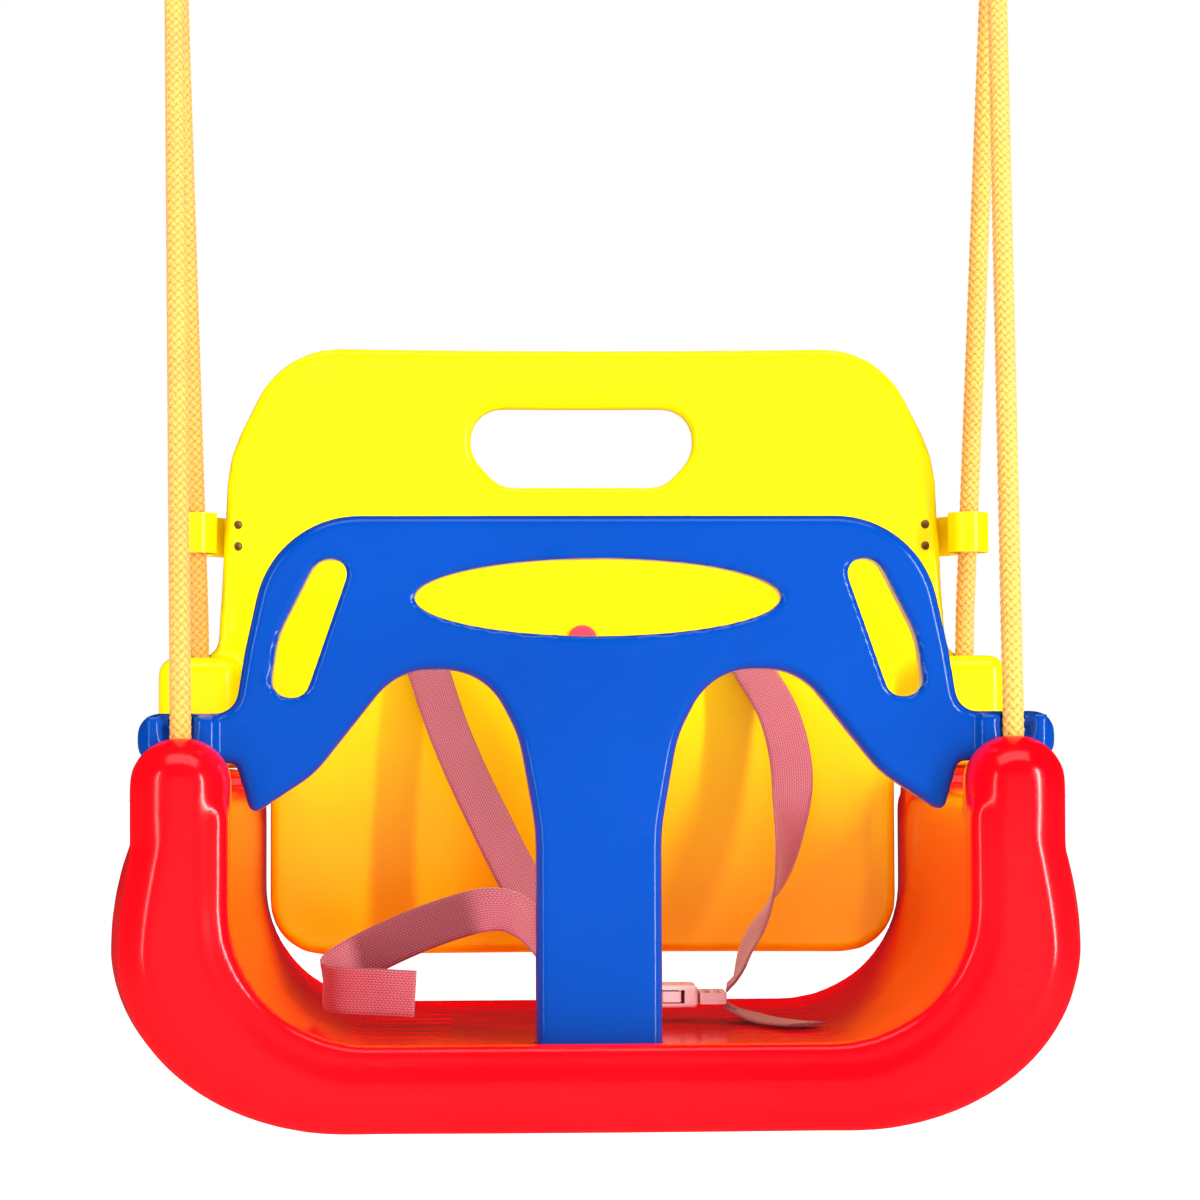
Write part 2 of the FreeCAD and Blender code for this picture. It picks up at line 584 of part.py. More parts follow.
BRIDGE_X = BUCKLE_X - 10.4  # left face of the plug half
SLIDER_X = BUCKLE_X + 39.0  # right face of the strap slider
STRAP_LEFT = [((-78, 128, 203), (1, 0, 0)), ((-78, 106, 203), (1, 0, 0)), ((-75, 97, 197), (1, 0, 0)),
              ((-64, 82, 165), (1, 0.2, 0.2)), ((-48, 62, 130), (1, 0.2, 0.35)),
              ((-31, 42, 97), (1, 0.3, 0.45)),
              ((-14, 25, 71), (0.7, 0.7, 0.4)), ((-1, BUCKLE_Y, 57), (0.0, 1, 0.0)),
              ((BRIDGE_X - 1.4, BUCKLE_Y, BUCKLE_H + 2.2), (0, 1, 0))]
STRAP_RIGHT = [((78, 128, 203), (1, 0, 0)), ((78, 106, 203), (1, 0, 0)), ((82, 97, 197), (1, 0, 0)),
               ((93, 84, 175), (1, 0.1, 0.1)), ((98, 72, 148), (1, 0.1, 0.1)),
               ((95, 60, 120), (0.7, 0.7, 0)),
               ((88, 46, 95), (0.3, 1, 0.1)), ((76, 32, 74), (-0.1, 1, 0.2)),
               ((68, BUCKLE_Y, 57), (0, 1, 0)),
               ((SLIDER_X + 1.4, BUCKLE_Y, BUCKLE_H + 3.0), (0, 1, 0))]
TAIL_LEFT = [((BRIDGE_X - 1.4, BUCKLE_Y, BUCKLE_H - 2.6), (0, 1, 0)), ((2, BUCKLE_Y, 43.5), (0, 1, 0)),
             ((-9, 3, 51), (0.3, 1, 0.2)), ((-24, -3, 77), (0.5, 1, 0.3)), ((-42, -2, 90), (0.3, 1, 0.5)),
             ((-64, -8, 92), (0.1, 1, 0.7)), ((-88, -14, 85), (-0.1, 0.9, 0.9)),
             ((-108, -22, 72), (-0.2, 0.5, 1)),
             ((-119, -33, 60), (0, 0, 1)), ((-112, -44, 54), (0, 0, 1)), ((-96, -49, 53), (0, 0, 1)),
             ((-78, -50, 52), (0, 0, 1))]
TAIL_RIGHT = [((SLIDER_X + 1.4, BUCKLE_Y - 2, BUCKLE_H - 4.7), (0, 1, 0)),
              ((67, BUCKLE_Y - 3, 40), (0.1, 1, 0)),
              ((77, -6, 37.4), (0.5, 1, 0)), ((87, -22, 37.2), (0.7, 1, 0)), ((94, -34, 37.4), (0.9, 1, 0))]


def back_run():
    """Webbing that crosses behind the backrest from slot to slot."""
    return webbing([((-66, 129.0, SLOT_H), (0, 0, 1)), ((0, 131.5, SLOT_H), (0, 0, 1)),
    ((66, 129.0, SLOT_H), (0, 0, 1))])


def buckle_female():
    """Socket half: a flat box open on the left, with a finger window at front and rear."""
    x0, x1 = BUCKLE_X + 2.0, BUCKLE_X + 26.0
    shell = box(x0, x1, BUCKLE_Y - 13.0, BUCKLE_Y + 13.0, BUCKLE_H - 5.0, BUCKLE_H + 5.0)
    shell = shell.makeFillet(2.0, shell.Edges)
    hollow = box(x0 - 5.0, x1 - 4.0, BUCKLE_Y - 10.5, BUCKLE_Y + 10.5, BUCKLE_H - 3.0, BUCKLE_H + 3.0)
    windows = box(x0 + 6.6, x0 + 18.0, BUCKLE_Y - 20.0, BUCKLE_Y + 20.0, BUCKLE_H - 3.0, BUCKLE_H + 3.0)
    return one(shell.cut(hollow).cut(windows))


def buckle_male():
    """Plug half: a bridge for the webbing and a centre tongue."""
    x1 = BUCKLE_X + 1.6
    bridge = box(x1 - 12.0, x1, BUCKLE_Y - 13.0, BUCKLE_Y + 13.0, BUCKLE_H - 4.5, BUCKLE_H + 4.5)
    bridge = bridge.makeFillet(2.0, bridge.Edges)
    tongue = box(x1 - 3.0, x1 + 17.0, BUCKLE_Y - 2.0, BUCKLE_Y + 2.0, BUCKLE_H - 1.6, BUCKLE_H + 1.6)
    return fuse([bridge, tongue])


def buckle_prong(way):
    """Spring arm with a finger pad; it turns about its root on the plug half."""
    x1 = BUCKLE_X + 1.6
    y = BUCKLE_Y + way * 8.0
    y0, y1 = sorted((y, y + way * PRONG_T))
    root_x = x1 + FIT_GAP + PRONG_T / 2
    arm = box(root_x, x1 + 17.0, y0, y1, BUCKLE_H - 2.4, BUCKLE_H + 2.4)
    root = rod(root_x, y + way * PRONG_T / 2, BUCKLE_H - 2.4, BUCKLE_H + 2.4, PRONG_T / 2)
    p0, p1 = sorted((y + way * 1.0, y + way * 5.6))
    pad = box(x1 + 8.2, x1 + 16.6, p0, p1, BUCKLE_H - 2.4, BUCKLE_H + 2.4)
    pad = pad.makeFillet(1.0, [e for e in pad.Edges if abs(e.tangentAt(e.FirstParameter).z) > 0.9])
    return fuse([arm, root, pad])


def strap_slider():
    """Three-bar slider that the right strap and its tail pass through."""
    x0, x1 = BUCKLE_X + 27.0, BUCKLE_X + 39.0
    plate = box(x0, x1, BUCKLE_Y - 13.0, BUCKLE_Y + 13.0, BUCKLE_H - 3.4, BUCKLE_H + 1.6)
    plate = plate.makeFillet(1.2, [e for e in plate.Edges if abs(e.tangentAt(e.FirstParameter).z) > 0.9])
    gaps = [box(x0 + 2.2, x0 + 4.8, BUCKLE_Y - 10.6, BUCKLE_Y + 10.6, 0, 200),
            box(x1 - 4.8, x1 - 2.2, BUCKLE_Y - 10.6, BUCKLE_Y + 10.6, 0, 200)]
    return one(plate.cut(gaps[0]).cut(gaps[1]))


def anchor_button():
    """Round button in the panel's middle."""
    face_y = BACK_FRONT_Y + BACK_DISH
    button = Part.makeCylinder(7.0, 3.0, V(0, face_y - 3.1, 212.0), V(0, 1, 0))
    front = [e for e in button.Edges if e.BoundBox.YMax < face_y - 2.9]
    return button.makeFillet(1.8, front)


os.makedirs("parts", exist_ok=True)
save("seat_shell", seat_shell())
save("backrest", backrest())
save("front_guard", front_guard())
save("clip_rivets", clip_rivets())
save("knot_washers", knot_washers())
save("gate_rivets", gate_rivets())
for label, sign in RINGS.items():
    save(f"rope_clip_{label}", rope_clip(sign))
    save(f"rope_{label}", rope(sign))
    save(f"rope_knots_{label}", rope_knots(sign))
    save(f"hang_ring_{label}", hang_ring(sign))
    save(f"snap_hook_{label}", snap_hook(sign))
    save(f"hook_gate_{label}", hook_gate(sign))
save("strap_left", webbing(STRAP_LEFT))
save("strap_right", webbing(STRAP_RIGHT))
save("strap_tail_left", webbing(TAIL_LEFT))
save("strap_tail_right", webbing(TAIL_RIGHT))
save("strap_back_run", back_run())
save("buckle_socket", buckle_female())
save("buckle_plug", buckle_male())
save("buckle_prong_front", buckle_prong(-1))
save("buckle_prong_rear", buckle_prong(1))
save("strap_slider", strap_slider())
save("anchor_button", anchor_button())
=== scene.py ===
import bpy
import bmesh
import math
import numpy as np
from mathutils import Matrix, Vector


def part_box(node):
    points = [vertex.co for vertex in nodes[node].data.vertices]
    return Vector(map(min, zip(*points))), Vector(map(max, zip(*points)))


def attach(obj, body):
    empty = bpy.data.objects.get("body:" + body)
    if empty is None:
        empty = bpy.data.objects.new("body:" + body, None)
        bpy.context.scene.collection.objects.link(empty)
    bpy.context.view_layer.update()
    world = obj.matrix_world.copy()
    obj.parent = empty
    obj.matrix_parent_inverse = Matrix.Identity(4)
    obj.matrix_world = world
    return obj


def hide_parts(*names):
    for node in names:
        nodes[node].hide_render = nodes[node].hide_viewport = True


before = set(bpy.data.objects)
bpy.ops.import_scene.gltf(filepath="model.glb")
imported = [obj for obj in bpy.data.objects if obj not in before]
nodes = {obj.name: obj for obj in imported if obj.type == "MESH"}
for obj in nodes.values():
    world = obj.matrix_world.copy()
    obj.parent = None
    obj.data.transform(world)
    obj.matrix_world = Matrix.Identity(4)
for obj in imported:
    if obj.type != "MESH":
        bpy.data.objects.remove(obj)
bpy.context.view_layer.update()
scene = bpy.context.scene
scene.view_settings.view_transform = "Standard"

# ---------------------------------------------------------------- camera
# A long lens at the height of the seat's posts, a little left of the swing's middle,
# turned in towards it and tipped up so that the ropes run out of the top of the view.

camera_spot = Vector((-0.048, -1.427, -0.4535))
camera_turn, camera_tip, camera_roll = 0.0373, 0.0485, 0.0036
ahead = Vector((math.sin(camera_turn) * math.cos(camera_tip), math.cos(camera_turn) * math.cos(camera_tip),
                math.sin(camera_tip)))
right = Vector((math.cos(camera_turn), -math.sin(camera_turn), 0))
up = right.cross(ahead)
right, up = (math.cos(camera_roll) * right - math.sin(camera_roll) * up,
             math.sin(camera_roll) * right + math.cos(camera_roll) * up)
camera_data = bpy.data.cameras.new("camera")
camera_data.lens = 93.4
camera_data.sensor_width = 36.0
camera = bpy.data.objects.new("camera", camera_data)
scene.collection.objects.link(camera)
camera.matrix_world = Matrix.Translation(camera_spot) @ Matrix((right, up, -ahead)).transposed().to_4x4()
scene.camera = camera


# ----------------------------------------------------------------- ropes
# Two soft 9 mm braided polypropylene ropes, one each side. Each runs from a knot in the
# front post up over the hanging ring and down through the keeper, ear and rear post.

ROPE_D = 0.009
ROPE_ROUTE = [(0.174, -0.127, -0.5171), (0.174, -0.127, -0.4471), (0.1760, -0.1122, -0.4008),
              (0.1880, -0.0214, -0.1170), (0.1895, -0.0099, -0.0812), (0.190, -0.0061, -0.0694),
              (0.190, 0.0063, -0.0694), (0.1898, 0.0087, -0.0816), (0.1891, 0.0159, -0.1185),
              (0.1849, 0.0633, -0.3590), (0.184, 0.073, -0.4081), (0.184, 0.073, -0.5171)]
STRANDS = 6
LAY = 0.024


def polyline(points, step):
    """Evenly spaced points along the smooth spline that has these control points."""
    curve = bpy.data.curves.new("route", "CURVE")
    curve.dimensions = "3D"
    curve.resolution_u = 24
    spline = curve.splines.new("NURBS")
    spline.points.add(len(points) - 1)
    for knot, point in zip(spline.points, points):
        knot.co = (*point, 1.0)
    spline.order_u = 3
    spline.use_endpoint_u = True
    carrier = bpy.data.objects.new("route", curve)
    scene.collection.objects.link(carrier)
    bpy.context.view_layer.update()
    read = bpy.data.meshes.new_from_object(carrier.evaluated_get(bpy.context.evaluated_depsgraph_get()))
    line = np.array([v.co for v in read.vertices])
    bpy.data.objects.remove(carrier)
    bpy.data.meshes.remove(read)
    bpy.data.curves.remove(curve)
    travel = np.r_[0, np.cumsum(np.linalg.norm(np.diff(line, axis=0), axis=1))]
    count = max(2, round(travel[-1] / step)) + 1
    stops = np.linspace(0, travel[-1], count)
    return np.stack([np.interp(stops, travel, line[:, i]) for i in range(3)], axis=1), stops


def frames_along(line):
    """Tangent and two normals at each point, carried along without twist."""
    tangent = np.gradient(line, axis=0)
    tangent /= np.linalg.norm(tangent, axis=1)[:, None]
    normals = [Vector(tangent[0]).orthogonal().normalized()]
    for before, after in zip(tangent[:-1], tangent[1:]):
        turn = Vector(before).rotation_difference(Vector(after))
        normals.append((turn @ normals[-1]).normalized())
    normal = np.array(normals)
    return tangent, normal, np.cross(tangent, normal)


def piece_from(name, verts, faces):
    """New smooth mesh object at the origin."""
    mesh = bpy.data.meshes.new(name)
    mesh.from_pydata([tuple(v) for v in verts], [], faces)
    mesh.validate()
    mesh.shade_smooth()
    obj = bpy.data.objects.new(name, mesh)
    scene.collection.objects.link(obj)
    return obj


def tube_faces(start, rows, sides):
    """Quads and two end caps of a tube whose rings are numbered from start."""
    faces = []
    for i in range(rows - 1):
        for j in range(sides):
            a, b = start + i * sides + j, start + i * sides + (j + 1) % sides
            faces.append((a, b, b + sides, a + sides))
    faces.append(tuple(reversed(range(start, start + sides))))
    faces.append(tuple(range(start + (rows - 1) * sides, start + rows * sides)))
    return faces


def braid(name, line, travel, diameter, strands, lay):
    """Round braid: strands wound both ways that pass over and under each other, on a core."""
    tangent, normal, binormal = frames_along(line)
    core_r, weave, half_w, half_t = diameter * 0.40, diameter * 0.022, diameter * 0.185, diameter * 0.07
    mid_r = diameter / 2 - half_t
    verts, faces, height = [], [], []
    wave = np.cos(2 * math.pi * strands * travel / lay)
    for way in (1, -1):
        for k in range(strands):
            angle = way * 2 * math.pi * travel / lay + 2 * math.pi * k / strands
            out = normal * np.cos(angle)[:, None] + binormal * np.sin(angle)[:, None]
            radius = mid_r + way * weave * wave
            centre = line + out * radius[:, None]
            along = np.gradient(centre, axis=0)
            along /= np.linalg.norm(along, axis=1)[:, None]
            flat = np.cross(along, out)
            ring = np.stack([centre + flat * half_w, centre + out * half_t, centre - flat * half_w,
                             centre - out * half_t], axis=1)
            faces += tube_faces(len(verts), len(line), 4)
            verts += list(ring.reshape(-1, 3))
            height += list(np.repeat(way * wave, 4))
    sides, skip = 10, 4
    rows = list(range(0, len(line), skip))
    rows = rows if rows[-1] == len(line) - 1 else rows + [len(line) - 1]
    faces += tube_faces(len(verts), len(rows), sides)
    for i in rows:
        for j in range(sides):
            turn = 2 * math.pi * j / sides
            verts.append(line[i] + core_r * (normal[i] * math.cos(turn) + binormal[i] * math.sin(turn)))
            height.append(-1.0)
    obj = piece_from(name, verts, faces)
    # Each strand's height in the weave, the core lowest, drives the yarn's painted shade between strands and
    # painted highlight on its crowns.
    heights = obj.data.attributes.new("weave_shade_height", "FLOAT", "POINT")
    heights.data.foreach_set("value", np.array(height, dtype=np.float32))
    return obj


def material(name):
    """Empty node material: returns it, its nodes, its links and its Principled shader."""
    mat = bpy.data.materials.new(name)
    mat.use_nodes = True
    tree = mat.node_tree
    return mat, tree.nodes, tree.links, tree.nodes["Principled BSDF"]


def add(tree_nodes, kind, **values):
    """Node of a kind with some of its inputs or settings filled in."""
    node = tree_nodes.new(kind)
    for key, value in values.items():
        if hasattr(node, key):
            setattr(node, key, value)
        else:
            node.inputs[key.replace("_", " ")].default_value = value
    return node


def ramp(tree_nodes, stops):
    """Colour ramp with the given (position, colour) stops."""
    node = tree_nodes.new("ShaderNodeValToRGB")
    elements = node.color_ramp.elements
    while len(elements) < len(stops):
        elements.new(0.5)
    for element, (position, colour) in zip(elements, stops):
        element.position = position
        element.color = (*colour, 1.0)
    return node


def rope_material():
    """Orange polypropylene yarn with fine filaments; painted light makes it paler on its crowns (painted
    highlight) and darker between strands and on the core (painted shade).
    """
    mat, n, links, shader = material("braided_orange")
    lay = add(n, "ShaderNodeAttribute", attribute_name="weave_shade_height")
    place = add(n, "ShaderNodeTexCoord")
    filament = add(n, "ShaderNodeTexNoise", Scale=2600.0, Detail=3.0)
    blotch = add(n, "ShaderNodeTexNoise", Scale=60.0, Detail=2.0)
    links.new(place.outputs["Object"], filament.inputs["Vector"])
    links.new(place.outputs["Object"], blotch.inputs["Vector"])
    rise = add(n, "ShaderNodeMapRange", From_Min=-1.0, From_Max=1.0)
    links.new(lay.outputs["Fac"], rise.inputs["Value"])
    grain_and_strand_shade = add(n, "ShaderNodeMath", operation="MULTIPLY_ADD")
    grain_and_strand_shade.inputs[1].default_value = 0.35
    links.new(filament.outputs["Fac"], grain_and_strand_shade.inputs[0])
    links.new(rise.outputs["Result"], grain_and_strand_shade.inputs[2])
    # Painted light: the dark stop is painted shade between strands and on the core, the pale stop a painted
    # highlight on the crowns.
    tint = ramp(n, [(0.10, (0.50, 0.15, 0.01)), (0.45, (0.86, 0.34, 0.025)), (1.0, (0.96, 0.47, 0.07))])
    links.new(grain_and_strand_shade.outputs["Value"], tint.inputs["Fac"])
    fade = add(n, "ShaderNodeMix", data_type="RGBA", blend_type="MULTIPLY")
    fade.inputs[0].default_value = 0.25
    links.new(tint.outputs["Color"], fade.inputs[6])
    links.new(blotch.outputs["Color"], fade.inputs[7])
    links.new(fade.outputs[2], shader.inputs["Base Color"])
    bump = add(n, "ShaderNodeBump", Strength=0.35, Distance=0.0003)
    links.new(filament.outputs["Fac"], bump.inputs["Height"])
    links.new(bump.outputs["Normal"], shader.inputs["Normal"])
    shader.inputs["Roughness"].default_value = 0.55
    shader.inputs["Sheen Weight"].default_value = 0.25
    return mat


yarn = rope_material()
rope_pieces = {}
for side, label in ((-1, "left"), (1, "right")):
    line, travel = polyline([(side * x, y, z) for x, y, z in ROPE_ROUTE], 0.00064)
    rope = braid(f"rope_{label}_braid", line, travel, ROPE_D, STRANDS, LAY)
    rope.data.materials.append(yarn)
    rope_pieces[label] = (rope, line)


# ----------------------------------------------------------------- knots
# The rope's two ends are each tied in a stopper knot below the post's sleeve, where the
# washer bears on it, out of sight in the seat's hollow.

KNOT_DROP = 0.0085
KNOT_REACH = 0.0058


def stopper_knot(name, top):
    """Trefoil of rope that sits just under the washer at top."""
    steps = 120
    spin = np.linspace(0, 2 * math.pi, steps, endpoint=False)
    x = (np.sin(spin) + 2 * np.sin(2 * spin)) / 3
    y = (np.cos(spin) - 2 * np.cos(2 * spin)) / 3
    z = -np.sin(3 * spin) * 0.75
    line = np.stack([x, y, z], axis=1) * KNOT_REACH * 0.86 + np.array(top) - np.array([0, 0, KNOT_DROP])
    line = np.vstack([line, line[:1]])
    tangent, normal, binormal = frames_along(line)
    sides, rope_r = 10, 0.0034
    verts = []
    for i in range(steps):
        for j in range(sides):
            turn = 2 * math.pi * j / sides
            ripple = 1 + 0.05 * math.sin(6 * turn + 30 * spin[i])
            out = normal[i] * math.cos(turn) + binormal[i] * math.sin(turn)
            verts.append(line[i] + rope_r * ripple * out)
    faces = []
    for i in range(steps):
        for j in range(sides):
            a, b = i * sides + j, i * sides + (j + 1) % sides
            c, d = (i + 1) % steps * sides + (j + 1) % sides, (i + 1) % steps * sides + j
            faces.append((a, b, c, d))
    return verts, faces


for side, label in ((-1, "left"), (1, "right")):
    verts, faces = [], []
    for x, y, z in (ROPE_ROUTE[0], ROPE_ROUTE[-1]):
        knot_verts, knot_faces = stopper_knot(label, (side * x, y, z))
        faces += [tuple(i + len(verts) for i in face) for face in knot_faces]
        verts += knot_verts
    knots = piece_from(f"rope_knots_{label}_tied", verts, faces)
    # The knots take one middle tone of the yarn's painted crown highlight and strand shade.
    heights = knots.data.attributes.new("weave_shade_height", "FLOAT", "POINT")
    heights.data.foreach_set("value", np.full(len(verts), 0.3, dtype=np.float32))
    knots.data.materials.append(yarn)
    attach(knots, "swing")
    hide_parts(f"rope_knots_{label}")
    rope, line = rope_pieces[label]
    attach(rope, "swing")
    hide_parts(f"rope_{label}")
    path = [tuple(p) for p in line[::6]] + [tuple(line[-1])]

# ------------------------------------------------------- moulded plastic
# The seat, backrest and guard are moulded in glossy coloured polyethylene: fully rounded
# edges, a faint orange-peel skin, and fine handling scratches that catch the light.

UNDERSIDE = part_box("seat_shell")[0][2]


def spot(x, y, h):
    """Point from millimetres: across, behind the hanging line, and above the seat's underside."""
    return (x / 1000, y / 1000, UNDERSIDE + h / 1000)


ARC_STEPS = 7


def outline(corners):
    """Points (x, h) round a closed outline of corners (x, h, radius), with ARC_STEPS to a quarter turn."""
    points = []
    for i, (x, h, r) in enumerate(corners):
        here = Vector((x, h))
        back = (Vector(corners[i - 1][:2]) - here).normalized()
        on = (Vector(corners[(i + 1) % len(corners)][:2]) - here).normalized()
        if r <= 0:
            points.append((x, h))
            continue
        half = back.angle(on) / 2
        centre = here + (back + on).normalized() * (r / math.sin(half))
        first, last = here + back * (r / math.tan(half)) - centre, here + on * (r / math.tan(half)) - centre
        start, sweep = math.atan2(first.y, first.x), last.angle_signed(first)
        steps = max(2, math.ceil(abs(sweep) / (math.pi / 2) * ARC_STEPS))
        for k in range(steps + 1):
            turn = start + sweep * k / steps
            points.append((centre.x + r * math.cos(turn), centre.y + r * math.sin(turn)))
    return points


def both(right_half):
    """Corners for the full width from the right half's."""
    return right_half + [(-x, h, r) for x, h, r in reversed(right_half)]


def slab(points, y0, y1):
    """Prism between two depths with an outline seen from the front, as a bmesh."""
    bm = bmesh.new()
    near = [bm.verts.new(spot(x, y0, h)) for x, h in points]
    far = [bm.verts.new(spot(x, y1, h)) for x, h in points]
    bm.faces.new(near)
    bm.faces.new(list(reversed(far)))
    count = len(points)
    for i in range(count):
        bm.faces.new((near[i], far[i], far[(i + 1) % count], near[(i + 1) % count]))
    bmesh.ops.recalc_face_normals(bm, faces=bm.faces)
    return bm


def loft(rings):
    """Closed skin through rings of equally many points, capped at both ends, as a bmesh."""
    bm = bmesh.new()
    made = [[bm.verts.new(p) for p in ring] for ring in rings]
    count = len(rings[0])
    for a, b in zip(made[:-1], made[1:]):
        for i in range(count):
            bm.faces.new((a[i], a[(i + 1) % count], b[(i + 1) % count], b[i]))
    bm.faces.new(list(reversed(made[0])))
    bm.faces.new(made[-1])
    bmesh.ops.recalc_face_normals(bm, faces=bm.faces)
    return bm


def pillar(x, y, h0, h1, half_w, half_d, corner, cap):
    """Upright rounded post whose top is drawn in over the height cap."""
    rings = []
    levels = [(h0, 1.0)] + [(h1 - cap + cap * math.sin(t), math.cos(t))
                            for t in np.linspace(0, math.pi / 2 * 0.985, 10)]
    for h, share in levels:
        inset = (1 - share) * min(half_w, half_d)
        ring = []
        for cx, cy, start in ((1, 1, 0), (-1, 1, 90), (-1, -1, 180), (1, -1, 270)):
            w, d = max(half_w - inset, 0.5), max(half_d - inset, 0.5)
            r = min(corner, w, d) * 0.98
            for k in range(7):
                turn = math.radians(start + 15 * k)
                ring.append(spot(x + cx * (w - r) + r * math.cos(turn),
                                 y + cy * (d - r) + r * math.sin(turn), h))
        rings.append(ring)
    return loft(rings)


def rounded_block(x0, x1, y0, y1, h0, h1, r):
    """Box with rounded edges, as a bmesh."""
    bm = bmesh.new()
    bmesh.ops.create_cube(bm, size=1.0)
    for v in bm.verts:
        v.co = Vector(spot(x0 if v.co.x < 0 else x1, y0 if v.co.y < 0 else y1, h0 if v.co.z < 0 else h1))
    if r > 0:
        bmesh.ops.bevel(bm, geom=list(bm.edges), offset=r / 1000, segments=4, profile=0.5, affect="EDGES")
    return bm


def barrel(x, y, h0, h1, r):
    """Upright cylinder, as a bmesh."""
    sides = 32
    turns = [2 * math.pi * k / sides for k in range(sides)]
    return loft([[spot(x + r * math.cos(t), y + r * math.sin(t), h) for t in turns] for h in (h0, h1)])


def as_object(name, bm):
    """New object from a bmesh, which goes."""
    mesh = bpy.data.meshes.new(name)
    bm.to_mesh(mesh)
    bm.free()
    obj = bpy.data.objects.new(name, mesh)
    scene.collection.objects.link(obj)
    return obj


def apply_modifiers(obj):
    """Turn the object's evaluated shape into its plain mesh."""
    bpy.context.view_layer.update()
    baked = bpy.data.meshes.new_from_object(obj.evaluated_get(bpy.context.evaluated_depsgraph_get()))
    baked.materials.clear()
    obj.modifiers.clear()
    old = obj.data
    obj.data = baked
    bpy.data.meshes.remove(old)
    return obj


def join(name, parts):
    """One object from several bmeshes, each a closed solid that overlaps the others."""
    whole = bmesh.new()
    for bm in parts:
        scratch = bpy.data.meshes.new("part")
        bm.to_mesh(scratch)
        whole.from_mesh(scratch)
        bpy.data.meshes.remove(scratch)
        bm.free()
    return as_object(name, whole)


def loose(obj):
    """The object's mesh as a bmesh; the object itself goes."""
    bm = bmesh.new()
    bm.from_mesh(obj.data)
    mesh = obj.data
    bpy.data.objects.remove(obj)
    bpy.data.meshes.remove(mesh)
    return bm


def packed(name):
    """Closed copy of a packed sub-part, as a bmesh."""
    bm = bmesh.new()
    bm.from_mesh(nodes[name].data)
    bm.transform(nodes[name].matrix_world)
    bmesh.ops.remove_doubles(bm, verts=bm.verts, dist=1e-6)
    return bm


CRISP = math.radians(32)


def cut(obj, tools):
    """Take closed solids out of the object, leaving the new edges crisp."""
    cutters = []
    for i, bm in enumerate(tools):
        cutter = as_object(f"cutter_{i}", bm)
        cutters.append(cutter)
        modifier = obj.modifiers.new(f"cut_{i}", "BOOLEAN")
        modifier.operation = "DIFFERENCE"
        modifier.object = cutter
        modifier.solver = "MANIFOLD"
    apply_modifiers(obj)
    for cutter in cutters:
        mesh = cutter.data
        bpy.data.objects.remove(cutter)
        bpy.data.meshes.remove(mesh)
    obj.data.shade_smooth()
    obj.data.set_sharp_from_angle(angle=CRISP)
    return obj


def shrink(points, by):
    """Closed outline moved inwards by a distance along its own normals."""
    moved = []
    for i, (x, h) in enumerate(points):
        (x0, h0), (x1, h1) = points[i - 1], points[(i + 1) % len(points)]
        along = Vector((x1 - x0, h1 - h0)).normalized()
        moved.append((x - along.y * by, h + along.x * by))
    return moved


def bead(points, y, r):
    """Raised round bead that follows a closed outline on the front face."""
    line = np.array([spot(x, y, h) for x, h in points])
    sides, depth = 8, Vector((0, 1, 0))
    bm = bmesh.new()
    rows = []
    for i in range(len(points)):
        along = line[(i + 1) % len(points)] - line[i - 1]
        side_way = Vector(np.cross(along, depth)).normalized()
        ring = []
        for j in range(sides):
            turn = 2 * math.pi * j / sides
            out = side_way * math.cos(turn) + depth * math.sin(turn)
            ring.append(bm.verts.new(Vector(line[i]) + r / 1000 * out))
        rows.append(ring)
    for i in range(len(rows)):
        a, b = rows[i], rows[(i + 1) % len(rows)]
        for j in range(sides):
            bm.faces.new((a[j], a[(j + 1) % sides], b[(j + 1) % sides], b[j]))
    bmesh.ops.recalc_face_normals(bm, faces=bm.faces)
    return bm


def mould(obj, voxel, passes):
    """Melt overlapping solids into one skin and soften every edge."""
    remesh = obj.modifiers.new("melt", "REMESH")
    remesh.mode = "VOXEL"
    remesh.voxel_size = voxel / 1000
    soften = obj.modifiers.new("soften", "SMOOTH")
    soften.factor = 0.5
    soften.iterations = passes
    apply_modifiers(obj)
    obj.data.shade_smooth()
    return obj


